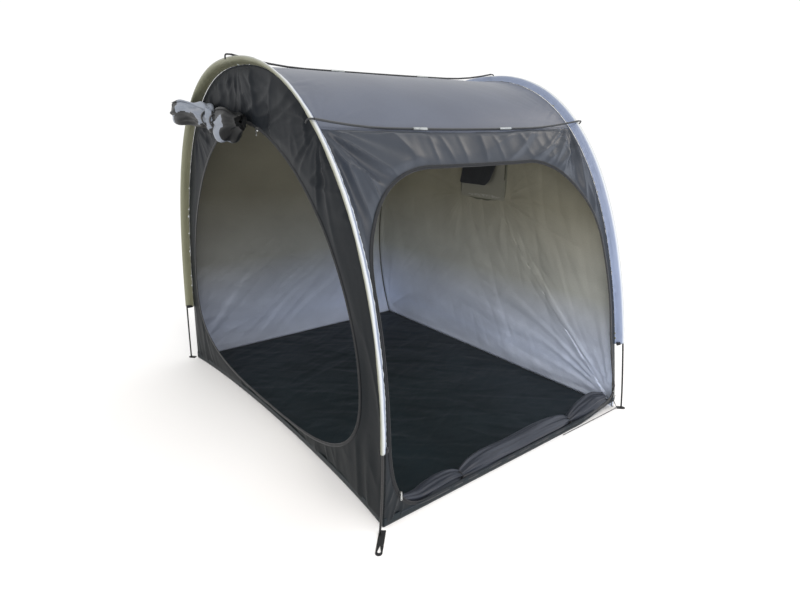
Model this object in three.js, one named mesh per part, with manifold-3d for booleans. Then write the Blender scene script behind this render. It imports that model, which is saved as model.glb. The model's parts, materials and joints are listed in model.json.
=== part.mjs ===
// A tunnel tent on two arch poles: a fabric shell hung from sleeves on the arches, three spreader
// poles that hook over the arches from outside, a big door in one end, a wide door in the front,
// and a vent with its hood in the other end. Millimetres, +Z up, origin on the ground at the centre.
// X runs along the tunnel from arch A to arch B, and Y across it, with the front door at -Y.
import * as THREE from "three";
import { mergeVertices } from "three/addons/utils/BufferGeometryUtils.js";
import Module from "manifold-3d";

const wasm = await Module();
wasm.setup();

// ---- Arches: each is a superellipse that runs on below its widest height to the ground ----
const APEX_HEIGHT = 1650; // pole centre line at the top
const WIDEST_SPAN = 2032; // between centre lines, at WIDEST_HEIGHT
const WIDEST_HEIGHT = 256;
const ARCH_EXPONENT = 2.25;
const ARCH_SPACING = 1523; // between the feet of the two arches
const ARCH_A_BOW = 16; // how far arch A is drawn in at half height
const ARCH_B_BOW = 87;
const ARCH_B_LEAN = 30; // how far arch B's top is drawn in
const ARCH_SECTIONS = 7; // tube lengths in each shock-corded arch pole
const POLE_RADIUS = 4.25;

// ---- Spreader poles ----
const SHOULDER_ANGLE = 0.939; // radians up the arch, where the shoulder poles cross it
const SPREADER_SECTIONS = 3;
const SPREADER_LIES = 0.55; // share of its length that lies on the shell, before its ends rise
const FERRULE_LENGTH = 70;
const FERRULE_WALL = 1;
const HOOK_RADIUS = 3.5; // of the moulded rod that the hook is bent from
const HOOK_REACH = 14; // straight past the arch before the hook turns in
const HOOK_BEND = 10;
const HOOK_TAIL = 10;
const HOOK_CLEAR = 1.2; // from the pole's end, which leans a little as the pole sags

// ---- Fabric shell ----
const BODY_INSET = 25; // shell below the pole centre line, across the sleeve
const SLEEVE_SETBACK = 33; // shell's end seam inboard of the pole, along X
const FABRIC = 2.4; // working thickness of a fabric solid, seams and folds included
const FLOOR_THICKNESS = 3;
const WAIST = 18; // how far the shell draws in halfway between the arches
const WAIST_START = 300; // height at which it begins to draw in
const WAIST_FULL = 900; // height from which it draws in fully
const WAIST_EASES = 1400; // height from which it draws in less again
const WAIST_RIDGE = 0.3; // share of the waist that is left at the ridge
const SLEEVE_SIDES = 6; // of its bore
const SLEEVE_EASE = 1.593; // play of a pole at the flats of the bore
const SLEEVE_BORE = POLE_RADIUS / Math.cos(Math.PI / SLEEVE_SIDES) + SLEEVE_EASE;
const SLEEVE_WALL = 2.5; // a fold of two layers and the seam
const SLEEVE_TUBE = SLEEVE_BORE + SLEEVE_WALL; // radius of the sleeve around its pole
const SLEEVE_STEP = 95; // longest straight piece that it is drawn with, so it clears its pole
const SLEEVE_HEM_A = 328; // height at which both ends of sleeve A stop
const SLEEVE_HEM_B = 376;

// ---- Door in end wall A: a superellipse, blunter below its widest height than above ----
const END_DOOR_REAR_MARGIN = 95; // fabric left beside it at its widest
const END_DOOR_FRONT_MARGIN = 173;
const END_DOOR_TOP_MARGIN = 227;
const END_DOOR_SILL = 62;
const END_DOOR_WIDEST = 480;
const END_DOOR_TOP_EXPONENT = 1.8;
const END_DOOR_SILL_EXPONENT = 2.6;

// ---- Front door ----
const FRONT_HEADER = 158; // wall left between the shoulder seam and the door's top edge
const FRONT_SILL = 32;
const FRONT_MARGIN_A = 14;
const FRONT_MARGIN_B = 38;
const FRONT_FOOT_MARGIN_B = 12; // the B side flares out to this at its foot
const FRONT_CORNER_A = [400, 390]; // width and height of the rounded top corner
const FRONT_CORNER_B = [340, 430];
const FRONT_FOOT_A = [180, 318]; // and of the foot corners
const FRONT_FOOT_B = [60, 68];
const FRONT_FLARE = 320; // height of the flare above the B foot corner

// ---- Rolled doors ----
const FRONT_ROLL_RADIUS = 40;
const FRONT_ROLL_PINCH = 24; // radius under a tie
const FRONT_ROLL_INSET = 80; // from the end walls
const FRONT_TIE_PLACES = [0.255, 0.8]; // as parts of the roll's length, from arch A
const END_ROLL_HEIGHT = 65; // half height of the bundle
const END_ROLL_DEPTH = 50; // half depth, away from the wall
const END_ROLL_PINCH = 0.72; // part of both that is left under the tie
const END_ROLL_FRONT = -85; // where its front end is, along Y
const END_ROLL_CLEAR = 1.5; // from the sleeve, at its rear end
const END_ROLL_DROP = 205; // its centre below the shell's top
const END_TIE_PLACE = 0.45;
const TIE_WIDTH = 12;
const TIE_THICKNESS = 2.5;

// ---- Vent in end wall B ----
const VENT_SPAN = [-235, 90]; // along Y
const VENT_HEIGHT = 215;
const VENT_TOP_DROP = 410; // its top edge below the shell's top
const VENT_FLAP_LENGTH = 150;
const VENT_FLAP_TILT = 0.26; // radians inward of straight down
const HOOD_REACH = 70;
const HOOD_RISE = 22; // above the vent's top edge

// ---- Corner webbing ----
const STRAP_WIDTH = 25;
const STRAP_THICKNESS = 2.4;
const STRAP_LENGTH = 130; // with its peg eye
const STRAP_SHORT = 47; // where it only ties the pole's foot to the shell's corner
const STRAP_START = 17; // clear of the shell's corner
const STRAP_LEAN = 0.671; // share of X in the strap's direction
const STRAP_EYE = [44, 13]; // length and width of the peg eye

// ---- Zips ----
const SLIDER_SIZE = [10, 5, 17]; // width, thickness, length
const PULL_SIZE = [9, 1.6, 36];
const PULL_CLEAR = 1.2; // room for the pull's top edge to turn in front of its slider
const ZIP_END_HEIGHT_A = 120; // where the front door's sliders are parked
const ZIP_END_HEIGHT_B = 101;
const END_ZIP_ANGLE = 1.785; // radians round the end door

const GAP = 0.4; // between neighbouring pieces
const EASE = 2; // between a pole and the fabric that it lies on

const HALF_SPAN = WIDEST_SPAN / 2;
const RISE = APEX_HEIGHT - WIDEST_HEIGHT;
const HALF_LENGTH = ARCH_SPACING / 2;
const SHOULDER_REAR = Math.PI - SHOULDER_ANGLE;
const SHELL_TOP = APEX_HEIGHT - BODY_INSET;

// ---- Shared geometry ----

// Signed power, which carries a superellipse through all four quadrants.
function signedPower(value, exponent) {
  return Math.sign(value) * Math.abs(value) ** exponent;
}

// A point of the arch's outline or of a curve inset from it. Angle 0 is the widest point at the
// front, a quarter turn is the top, and half a turn is the widest point at the back.
function profilePoint(angle, inset = 0) {
  const power = 2 / ARCH_EXPONENT;
  return new THREE.Vector2(
    -(HALF_SPAN - inset) * signedPower(Math.cos(angle), power),
    WIDEST_HEIGHT + (RISE - inset) * signedPower(Math.sin(angle), power),
  );
}

// The angle at which the front half of that curve is at a given height.
function angleAtHeight(height, inset = 0) {
  const share = (height - WIDEST_HEIGHT) / (RISE - inset);
  return Math.asin(signedPower(share, ARCH_EXPONENT / 2));
}

// The outward direction of the arch's outline, in the YZ plane.
function outwardAt(angle) {
  const step = 1e-3;
  const along = profilePoint(angle + step).sub(profilePoint(angle - step));
  return new THREE.Vector2(-along.y, along.x).normalize();
}

// X of an arch's centre line at a height. Both arches are drawn in between foot and top.
function archX(end, height) {
  const share = height / APEX_HEIGHT;
  const bow = 4 * share * (1 - share);
  if (end === "a") return -HALF_LENGTH + ARCH_A_BOW * bow;
  return HALF_LENGTH - ARCH_B_LEAN * share - ARCH_B_BOW * bow;
}

// X of the shell's end seam at a height.
function shellX(end, height) {
  return archX(end, height) + (end === "a" ? SLEEVE_SETBACK : -SLEEVE_SETBACK);
}

// How far the shell has drawn in from its profile at a point along and up it.
function waistAt(x, height) {
  const along = Math.max(0, 1 - (x / (HALF_LENGTH - SLEEVE_SETBACK)) ** 2);
  const drawn = THREE.MathUtils.smoothstep(height, WAIST_START, WAIST_FULL);
  const eased = (1 - WAIST_RIDGE) * THREE.MathUtils.smoothstep(height, WAIST_EASES, SHELL_TOP);
  return WAIST * along * drawn * (1 - eased);
}

// A curve that keeps its cross-section square to the world's X axis, so that a flat section
// carried along it never twists. Subclasses give getPoint.
class SquareCurve extends THREE.Curve {
  computeFrenetFrames(segments) {
    const frames = { tangents: [], normals: [], binormals: [] };
    for (let i = 0; i <= segments; i++) {
      const tangent = this.getTangentAt(i / segments);
      const side = new THREE.Vector3(...this.side);
      side.addScaledVector(tangent, -side.dot(tangent)).normalize();
      frames.tangents.push(tangent);
      frames.normals.push(side);
      frames.binormals.push(new THREE.Vector3().crossVectors(tangent, side));
    }
    return frames;
  }
}

// An arch's centre line from the front foot over the top to the back foot.
class ArchCurve extends SquareCurve {
  constructor(end, footHeight) {
    super();
    this.end = end;
    this.from = angleAtHeight(footHeight);
    this.side = [1, 0, 0];
    this.arcLengthDivisions = 600;
  }
  getPoint(t, target = new THREE.Vector3()) {
    const angle = THREE.MathUtils.lerp(this.from, Math.PI - this.from, t);
    const point = profilePoint(angle);
    return target.set(archX(this.end, point.y), point.x, point.y);
  }
}

// A spreader's centre line: over both arches, and drawn down onto the shell between them.
class SpreaderCurve extends SquareCurve {
  constructor(angle) {
    super();
    this.base = profilePoint(angle);
    this.out = outwardAt(angle);
    this.ends = [archX("a", this.base.y), archX("b", this.base.y)];
    this.side = [0, -this.out.y, this.out.x];
  }
  getPoint(t, target = new THREE.Vector3()) {
    const x = THREE.MathUtils.lerp(...this.ends, t);
    const high = SLEEVE_TUBE + POLE_RADIUS + GAP * 2;
    const lying = POLE_RADIUS + EASE - BODY_INSET - waistAt(x, this.base.y);
    const past = Math.max(0, Math.abs(2 * t - 1) - SPREADER_LIES) / (1 - SPREADER_LIES);
    const offset = THREE.MathUtils.lerp(lying, high, past ** 2);
    return target.set(x, this.base.x + this.out.x * offset, this.base.y + this.out.y * offset);
  }
}

// A stretch of another curve, between two shares of its length.
class Stretch extends SquareCurve {
  constructor(whole, from, to) {
    super();
    this.whole = whole;
    this.from = from;
    this.to = to;
    this.side = whole.side;
  }
  getPoint(t, target = new THREE.Vector3()) {
    return this.whole.getPointAt(THREE.MathUtils.lerp(this.from, this.to, t), target);
  }
}

function circleShape(radius, sides, hole = 0) {
  const ring = (r) =>
    Array.from({ length: sides }, (_, i) => {
      const turn = (2 * Math.PI * i) / sides;
      return new THREE.Vector2(r * Math.cos(turn), r * Math.sin(turn));
    });
  const shape = new THREE.Shape(ring(radius));
  if (hole) shape.holes.push(new THREE.Path(ring(hole)));
  return shape;
}

function along(shape, curve, steps) {
  return new THREE.ExtrudeGeometry(shape, { extrudePath: curve, steps });
}

// An outline drawn in Y and Z, extruded along X between two places.
function extrudeX(shape, from, to, steps = 1) {
  const geometry = new THREE.ExtrudeGeometry(shape, { depth: to - from, steps, bevelEnabled: false });
  return geometry
    .applyMatrix4(new THREE.Matrix4().set(0, 0, 1, 0, 1, 0, 0, 0, 0, 1, 0, 0, 0, 0, 0, 1))
    .translate(from, 0, 0);
}

// An outline drawn in X and Z, extruded along Y between two places.
function extrudeY(shape, from, to) {
  const geometry = new THREE.ExtrudeGeometry(shape, { depth: to - from, bevelEnabled: false });
  return geometry.rotateX(Math.PI / 2).translate(0, to, 0);
}

function extrudeZ(shape, from, to) {
  const geometry = new THREE.ExtrudeGeometry(shape, { depth: to - from, bevelEnabled: false });
  return geometry.translate(0, 0, from);
}

function box(low, high) {
  const size = high.map((value, i) => value - low[i]);
  const centre = high.map((value, i) => (value + low[i]) / 2);
  return new THREE.BoxGeometry(...size).translate(...centre);
}

function solid(geometry) {
  const bare = geometry.clone();
  bare.deleteAttribute("normal");
  bare.deleteAttribute("uv");
  const merged = mergeVertices(bare, 1e-3);
  const mesh = new wasm.Mesh({
    numProp: 3,
    vertProperties: merged.attributes.position.array,
    triVerts: new Uint32Array(merged.index.array),
  });
  return new wasm.Manifold(mesh);
}

function toGeometry(manifold) {
  const mesh = manifold.getMesh();
  const geometry = new THREE.BufferGeometry();
  geometry.setAttribute("position", new THREE.BufferAttribute(mesh.vertProperties, 3));
  geometry.setIndex(new THREE.BufferAttribute(mesh.triVerts, 1));
  geometry.computeVertexNormals();
  return geometry;
}

// ---- Materials ----
const FINISHES = {
  slate_fabric: [0x5a5e68, 0.62, 0],
  roof_fabric: [0x737883, 0.5, 0],
  end_fabric: [0x43474b, 0.65, 0],
  floor_sheet: [0x1c242a, 0.55, 0],
  silver_sleeve: [0xdce2ea, 0.4, 0.3],
  fibreglass: [0x1a1b1d, 0.45, 0],
  ferrule_metal: [0xd9dadc, 0.25, 1],
  black_plastic: [0x151617, 0.5, 0],
  black_fabric: [0x232426, 0.7, 0],
  webbing: [0x17191c, 0.8, 0],
  zip_metal: [0xc9cbce, 0.3, 1],
};

const tent = new THREE.Group();

function add(name, geometry, finish) {
  const [color, roughness, metalness] = FINISHES[finish];
  const material = new THREE.MeshStandardMaterial({ color, roughness, metalness });
  const mesh = new THREE.Mesh(geometry, material);
  mesh.name = name;
  tent.add(mesh);
  return mesh;
}

// ---- Arch poles: straight-through tube sections, end to end on the arch's curve ----
const POLE_SIDES = 8;
// The foot stands on the corner webbing, clear of it by as much as its square end leans.
const FOOT_LEAN = 0.2353;
const POLE_FOOT = STRAP_THICKNESS + POLE_RADIUS * FOOT_LEAN;
for (const end of ["a", "b"]) {
  const curve = new ArchCurve(end, POLE_FOOT);
  const half = GAP / 2 / curve.getLength();
  for (let i = 0; i < ARCH_SECTIONS; i++) {
    const from = i / ARCH_SECTIONS + (i ? half : 0);
    const to = (i + 1) / ARCH_SECTIONS - (i < ARCH_SECTIONS - 1 ? half : 0);
    const section = along(circleShape(POLE_RADIUS, POLE_SIDES), new Stretch(curve, from, to), 8);
    add(`arch_${end}_pole_${i + 1}`, section, "fibreglass");
  }
}

// ---- Sleeves: a tube round the pole, and a web that runs in to the shell's edge ----
const WEB_HALF = FABRIC / 2;
function sleeveShape(inward) {
  const web = new THREE.Vector2(SLEEVE_SETBACK, BODY_INSET);
  const reach = web.length() - FABRIC - EASE;
  web.normalize();
  const turn = Math.asin(WEB_HALF / SLEEVE_TUBE);
  const start = web.angle();
  const corners = 7;
  const points = [];
  for (let i = 0; i <= corners; i++) {
    const angle = start + turn + ((2 * Math.PI - 2 * turn) * i) / corners;
    points.push(new THREE.Vector2(SLEEVE_TUBE * Math.cos(angle), SLEEVE_TUBE * Math.sin(angle)));
  }
  const across = new THREE.Vector2(-web.y, web.x).multiplyScalar(WEB_HALF);
  const tip = web.clone().multiplyScalar(reach);
  points.push(tip.clone().sub(across), tip.clone().add(across));
  const shape = new THREE.Shape(points.map((p) => new THREE.Vector2(p.x * inward, p.y)));
  const bore = circleShape(SLEEVE_BORE, SLEEVE_SIDES);
  shape.holes.push(new THREE.Path(bore.getPoints()));
  return shape;
}
for (const [end, hem] of [["a", SLEEVE_HEM_A], ["b", SLEEVE_HEM_B]]) {
  const curve = new ArchCurve(end, hem);
  const steps = Math.ceil(curve.getLength() / SLEEVE_STEP);
  add(`sleeve_${end}`, along(sleeveShape(end === "a" ? 1 : -1), curve, steps), "silver_sleeve");
}

// ---- Spreader poles, with a metal ferrule round each joint and a hook on each end ----
function hookCurve(spreader, end) {
  const outX = end === "a" ? -1 : 1;
  const start = spreader.getPoint(end === "a" ? 0 : 1);
  const at = (x, drop) =>
    new THREE.Vector3(
      start.x + outX * x,
      start.y - spreader.out.x * drop,
      start.z - spreader.out.y * drop,
    );
  const path = new THREE.CurvePath();
  path.add(new THREE.LineCurve3(at(HOOK_CLEAR, 0), at(HOOK_REACH, 0)));
  const bend = HOOK_REACH + HOOK_BEND;
  path.add(new THREE.QuadraticBezierCurve3(at(HOOK_REACH, 0), at(bend, 0), at(bend, HOOK_BEND)));
  path.add(new THREE.LineCurve3(at(bend, HOOK_BEND), at(bend, HOOK_BEND + HOOK_TAIL)));
  return path;
}
const SPREADERS = { ridge: Math.PI / 2, front: SHOULDER_ANGLE, rear: SHOULDER_REAR };
for (const [name, angle] of Object.entries(SPREADERS)) {
  const curve = new SpreaderCurve(angle);
  const length = curve.getLength();
  const half = GAP / 2 / length;
  for (let i = 0; i < SPREADER_SECTIONS; i++) {
    const from = i / SPREADER_SECTIONS + (i ? half : 0);
    const to = (i + 1) / SPREADER_SECTIONS - (i < SPREADER_SECTIONS - 1 ? half : 0);
    const section = along(circleShape(POLE_RADIUS, POLE_SIDES), new Stretch(curve, from, to), 6);
    add(`${name}_pole_${i + 1}`, section, "fibreglass");
    if (!i) continue;
    const reach = FERRULE_LENGTH / 2 / length;
    const joint = new Stretch(curve, i / SPREADER_SECTIONS - reach, i / SPREADER_SECTIONS + reach);
    const bore = POLE_RADIUS / Math.cos(Math.PI / POLE_SIDES) + GAP;
    const ring = circleShape(bore + FERRULE_WALL, POLE_SIDES, bore);
    add(`${name}_ferrule_${i}`, along(ring, joint, 2), "ferrule_metal");
  }
  for (const end of ["a", "b"]) {
    const hook = along(circleShape(HOOK_RADIUS, 6), hookCurve(curve, end), 10);
    add(`${name}_hook_${end}`, hook, "black_plastic");
  }
}

// ---- Shell: the roof and the long walls are bands of one barrel, between the end seams ----
const WALL_BASE = FLOOR_THICKNESS + GAP;
const SHELL_STEPS = 12;

// The space between the two end walls, as one solid.
function betweenEnds() {
  const heights = Array.from({ length: 13 }, (_, i) => (APEX_HEIGHT * i) / 12);
  const clear = FABRIC + GAP;
  const sideA = heights.map((z) => new THREE.Vector2(shellX("a", z) + clear, z));
  const sideB = heights.map((z) => new THREE.Vector2(shellX("b", z) - clear, z));
  return solid(extrudeY(new THREE.Shape([...sideB, ...sideA.reverse()]), -HALF_SPAN, HALF_SPAN));
}
const cabin = betweenEnds();

// A band of the barrel between two angles. An end given as null runs down to the floor.
function shellBand(from, to, pieces) {
  const curve = (inset) => {
    const base = angleAtHeight(WALL_BASE, inset);
    const first = from ?? base;
    const last = to ?? Math.PI - base;
    return Array.from({ length: pieces + 1 }, (_, i) =>
      profilePoint(THREE.MathUtils.lerp(first, last, i / pieces), inset),
    );
  };
  const outline = [...curve(BODY_INSET), ...curve(BODY_INSET + FABRIC).reverse()];
  const geometry = extrudeX(new THREE.Shape(outline), -HALF_LENGTH, HALF_LENGTH, SHELL_STEPS);
  const position = geometry.attributes.position;
  const radial = new THREE.Vector2();
  for (let i = 0; i < position.count; i++) {
    radial.set(position.getY(i), position.getZ(i) - WIDEST_HEIGHT).normalize();
    const shift = waistAt(position.getX(i), position.getZ(i));
    position.setY(i, position.getY(i) - radial.x * shift);
    position.setZ(i, position.getZ(i) - radial.y * shift);
  }
  return solid(geometry).intersect(cabin);
}
const SEAM = GAP / HALF_SPAN; // half of the gap at a shoulder seam, as an angle
const roof = shellBand(SHOULDER_ANGLE + SEAM, SHOULDER_REAR - SEAM, 12);
const backWall = shellBand(SHOULDER_REAR + SEAM, null, 12);
const frontBand = shellBand(null, SHOULDER_ANGLE - SEAM, 12);
add("roof_panel", toGeometry(roof), "roof_fabric");
add("back_wall", toGeometry(backWall), "slate_fabric");

// ---- Front door opening, drawn in X and Z ----
const FRONT_TOP = profilePoint(SHOULDER_ANGLE, BODY_INSET).y - FRONT_HEADER;
const FRONT_LEFT = shellX("a", FRONT_TOP / 2) + FRONT_MARGIN_A;
const frontRight = (height) => shellX("b", height) - FRONT_MARGIN_B;
const footCornerA = new THREE.QuadraticBezierCurve(
  new THREE.Vector2(FRONT_LEFT, FRONT_SILL + FRONT_FOOT_A[1]),
  new THREE.Vector2(FRONT_LEFT, FRONT_SILL),
  new THREE.Vector2(FRONT_LEFT + FRONT_FOOT_A[0], FRONT_SILL),
);
const FOOT_B_TOP = FRONT_SILL + FRONT_FOOT_B[1];
const FOOT_B_X = shellX("b", FOOT_B_TOP) - FRONT_FOOT_MARGIN_B;
const FLARE_TOP = FOOT_B_TOP + FRONT_FLARE;
const flareB = new THREE.QuadraticBezierCurve(
  new THREE.Vector2(frontRight(FLARE_TOP), FLARE_TOP),
  new THREE.Vector2(frontRight(FLARE_TOP - FRONT_FLARE / 2), FLARE_TOP - FRONT_FLARE / 2),
  new THREE.Vector2(FOOT_B_X, FOOT_B_TOP),
);
function frontDoorShape() {
  const shape = new THREE.Shape();
  const cornerB = FRONT_TOP - FRONT_CORNER_B[1];
  const cornerA = FRONT_TOP - FRONT_CORNER_A[1];
  const right = frontRight(cornerB);
  const topB = right - FRONT_CORNER_B[0];
  const topA = FRONT_LEFT + FRONT_CORNER_A[0];
  const pull = 0.4; // how far each handle stays from its square corner
  shape.moveTo(FRONT_LEFT + FRONT_FOOT_A[0], FRONT_SILL);
  shape.lineTo(FOOT_B_X - FRONT_FOOT_B[0], FRONT_SILL);
  shape.quadraticCurveTo(FOOT_B_X, FRONT_SILL, FOOT_B_X, FOOT_B_TOP);
  shape.quadraticCurveTo(flareB.v1.x, flareB.v1.y, flareB.v0.x, flareB.v0.y);
  shape.lineTo(right, cornerB);
  shape.bezierCurveTo(
    right, FRONT_TOP - FRONT_CORNER_B[1] * pull,
    right - FRONT_CORNER_B[0] * pull, FRONT_TOP,
    topB, FRONT_TOP,
  );
  shape.lineTo(topA, FRONT_TOP);
  shape.bezierCurveTo(
    FRONT_LEFT + FRONT_CORNER_A[0] * pull, FRONT_TOP,
    FRONT_LEFT, FRONT_TOP - FRONT_CORNER_A[1] * pull,
    FRONT_LEFT, cornerA,
  );
  shape.lineTo(footCornerA.v0.x, footCornerA.v0.y);
  shape.quadraticCurveTo(footCornerA.v1.x, footCornerA.v1.y, footCornerA.v2.x, footCornerA.v2.y);
  return new THREE.Shape(shape.getPoints(8));
}
const frontCut = solid(extrudeY(frontDoorShape(), -WIDEST_SPAN, 0));
add("front_wall", toGeometry(frontBand.subtract(frontCut)), "slate_fabric");

// ---- End walls: a bowed sheet cut to the shell's profile ----
function bodyProfile() {
  const base = angleAtHeight(WALL_BASE, BODY_INSET);
  const pieces = 34;
  return new THREE.Shape(
    Array.from({ length: pieces + 1 }, (_, i) =>
      profilePoint(THREE.MathUtils.lerp(base, Math.PI - base, i / pieces), BODY_INSET),
    ),
  );
}
const profilePrism = solid(extrudeX(bodyProfile(), -HALF_LENGTH, HALF_LENGTH));

function endSheet(end) {
  const heights = Array.from({ length: 13 }, (_, i) => (APEX_HEIGHT * i) / 12);
  const inward = end === "a" ? FABRIC : -FABRIC;
  const outer = heights.map((z) => new THREE.Vector2(shellX(end, z), z));
  const inner = heights.map((z) => new THREE.Vector2(shellX(end, z) + inward, z));
  const shape = new THREE.Shape([...outer, ...inner.reverse()]);
  return solid(extrudeY(shape, -HALF_SPAN, HALF_SPAN)).intersect(profilePrism);
}

const WIDEST_BODY = HALF_SPAN - BODY_INSET;
const END_DOOR_HALF = WIDEST_BODY - (END_DOOR_REAR_MARGIN + END_DOOR_FRONT_MARGIN) / 2;
const END_DOOR_CENTRE = (END_DOOR_FRONT_MARGIN - END_DOOR_REAR_MARGIN) / 2;
const END_DOOR_TOP = SHELL_TOP - END_DOOR_TOP_MARGIN;
function endDoorPoint(angle) {
  const upper = Math.sin(angle) >= 0;
  const power = 2 / (upper ? END_DOOR_TOP_EXPONENT : END_DOOR_SILL_EXPONENT);
  const height = upper ? END_DOOR_TOP - END_DOOR_WIDEST : END_DOOR_WIDEST - END_DOOR_SILL;
  return new THREE.Vector2(
    END_DOOR_CENTRE + END_DOOR_HALF * signedPower(Math.cos(angle), power),
    END_DOOR_WIDEST + height * signedPower(Math.sin(angle), power),
  );
}
const endDoorOutline = Array.from({ length: 40 }, (_, i) => endDoorPoint((2 * Math.PI * i) / 40));
const endCut = solid(extrudeX(new THREE.Shape(endDoorOutline), -ARCH_SPACING, 0));
add("end_wall_a", toGeometry(endSheet("a").subtract(endCut)), "end_fabric");

const VENT_TOP = SHELL_TOP - VENT_TOP_DROP;
const VENT_SILL = VENT_TOP - VENT_HEIGHT;
const ventCut = solid(box([0, VENT_SPAN[0], VENT_SILL], [ARCH_SPACING, VENT_SPAN[1], VENT_TOP]));
add("end_wall_b", toGeometry(endSheet("b").subtract(ventCut)), "slate_fabric");

// ---- Floor: one sheet under all the walls ----
const floorHalf = profilePoint(angleAtHeight(0, BODY_INSET), BODY_INSET).x;
const floorSheet = box([shellX("a", 0), floorHalf, 0], [shellX("b", 0), -floorHalf, FLOOR_THICKNESS]);
add("floor", floorSheet, "floor_sheet");

// ---- Vent flap, hung inside from the vent's top edge, and the hood outside ----
function ventFlap() {
  const [low, high] = VENT_SPAN;
  const edge = 10; // the flap stops short of the vent's sides
  const corner = VENT_FLAP_LENGTH * 0.45;
  const shape = new THREE.Shape();
  shape.moveTo(high - edge, 0);
  shape.lineTo(low + edge, 0);
  shape.lineTo(low + edge, -corner);
  shape.quadraticCurveTo(low + edge, -VENT_FLAP_LENGTH, low + edge + corner, -VENT_FLAP_LENGTH);
  shape.lineTo(high - edge, -VENT_FLAP_LENGTH);
  return extrudeX(new THREE.Shape(shape.getPoints(5)), -FABRIC, 0).rotateY(VENT_FLAP_TILT);
}
const flap = add("vent_flap", ventFlap(), "black_fabric");
flap.position.set(shellX("b", VENT_TOP) - FABRIC - EASE, 0, VENT_TOP - EASE);

// A lean-to of fabric over the vent: a sloping top and two cheeks, open below.
function ventHood() {
  const top = VENT_TOP + HOOD_RISE;
  const wedge = (wall, side) => {
    const nearTop = shellX("b", top) + GAP + EASE;
    const nearFoot = shellX("b", VENT_SILL) + GAP + EASE;
    const shape = new THREE.Shape();
    shape.moveTo(nearTop - wall, top - wall * 2);
    shape.lineTo(nearTop + FABRIC - wall, top - wall * 2);
    shape.lineTo(nearFoot + HOOD_REACH - wall, VENT_SILL - wall);
    shape.lineTo(nearFoot - wall, VENT_SILL - wall);
    return solid(extrudeY(shape, VENT_SPAN[0] - side, VENT_SPAN[1] + side));
  };
  return wedge(0, FABRIC * 3).subtract(wedge(FABRIC, FABRIC * 2));
}
add("vent_hood", toGeometry(ventHood()), "slate_fabric");

// ---- Rolled doors: a lathed bundle, pinched where each tie goes round ----
function bundle(length, radius, end, pinches, squeezed) {
  const points = [new THREE.Vector2(0, 0), new THREE.Vector2(end, 0)];
  const stations = [[0, end]];
  const shoulder = TIE_WIDTH * 5;
  for (const place of pinches) {
    const at = place * length;
    const before = stations[stations.length - 1][0];
    const middle = before + (at - before) / 2;
    stations.push([Math.max(middle, before + 1), radius]);
    stations.push([Math.max(at - shoulder, middle + 1), radius * 0.95]);
    stations.push([at - TIE_WIDTH, squeezed], [at + TIE_WIDTH, squeezed]);
    stations.push([at + shoulder, radius * 0.95]);
  }
  const last = stations[stations.length - 1][0];
  stations.push([last + (length - last) * 0.6, radius], [length, end]);
  for (const [place, size] of stations.slice(1)) points.push(new THREE.Vector2(size, place));
  points.push(new THREE.Vector2(0, length));
  return new THREE.LatheGeometry(points, 12);
}
function tieBand(radius) {
  const half = TIE_WIDTH / 2;
  const corners = [
    [radius, -half],
    [radius + TIE_THICKNESS, -half],
    [radius + TIE_THICKNESS, half],
    [radius, half],
    [radius, -half],
  ];
  return new THREE.LatheGeometry(corners.map((c) => new THREE.Vector2(...c)), 12);
}

const TIE_CLEAR = 1;
const rollStart = shellX("a", FRONT_ROLL_RADIUS) + FRONT_ROLL_INSET;
const rollLength = shellX("b", FRONT_ROLL_RADIUS) - FRONT_ROLL_INSET - rollStart;
const wallFoot = -profilePoint(angleAtHeight(FLOOR_THICKNESS, BODY_INSET), BODY_INSET).x;
const rollY = -(wallFoot - FABRIC - FRONT_ROLL_RADIUS - EASE);
const rollZ = FLOOR_THICKNESS + FRONT_ROLL_RADIUS + 1;
const rollShape = bundle(rollLength, FRONT_ROLL_RADIUS, 22, FRONT_TIE_PLACES, FRONT_ROLL_PINCH);
const roll = add("front_door_roll", rollShape.rotateZ(-Math.PI / 2), "slate_fabric");
roll.position.set(rollStart, rollY, rollZ);
FRONT_TIE_PLACES.forEach((place, i) => {
  const band = tieBand(FRONT_ROLL_PINCH + TIE_CLEAR).rotateZ(-Math.PI / 2);
  const tie = add(`front_door_tie_${i + 1}`, band, "webbing");
  tie.position.set(rollStart + place * rollLength, rollY, rollZ);
});

const flatten = END_ROLL_DEPTH / END_ROLL_HEIGHT;
const endPinch = END_ROLL_HEIGHT * END_ROLL_PINCH;
const endRollZ = SHELL_TOP - END_ROLL_DROP;
const endRollX = shellX("a", endRollZ) - END_ROLL_DEPTH - EASE;
const sleeveInside = -profilePoint(angleAtHeight(endRollZ + END_ROLL_HEIGHT)).x - SLEEVE_TUBE;
const endRollLength = sleeveInside - END_ROLL_CLEAR - END_ROLL_FRONT;
const endRollShape = bundle(endRollLength, END_ROLL_HEIGHT, 32, [END_TIE_PLACE], endPinch);
const endRoll = add("door_a_roll", endRollShape.scale(flatten, 1, 1), "silver_sleeve");
endRoll.position.set(endRollX, END_ROLL_FRONT, endRollZ);
const endTie = add("door_a_tie", tieBand(endPinch + TIE_CLEAR).scale(flatten, 1, 1), "webbing");
endTie.position.set(endRollX, END_ROLL_FRONT + END_TIE_PLACE * endRollLength, endRollZ);

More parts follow.
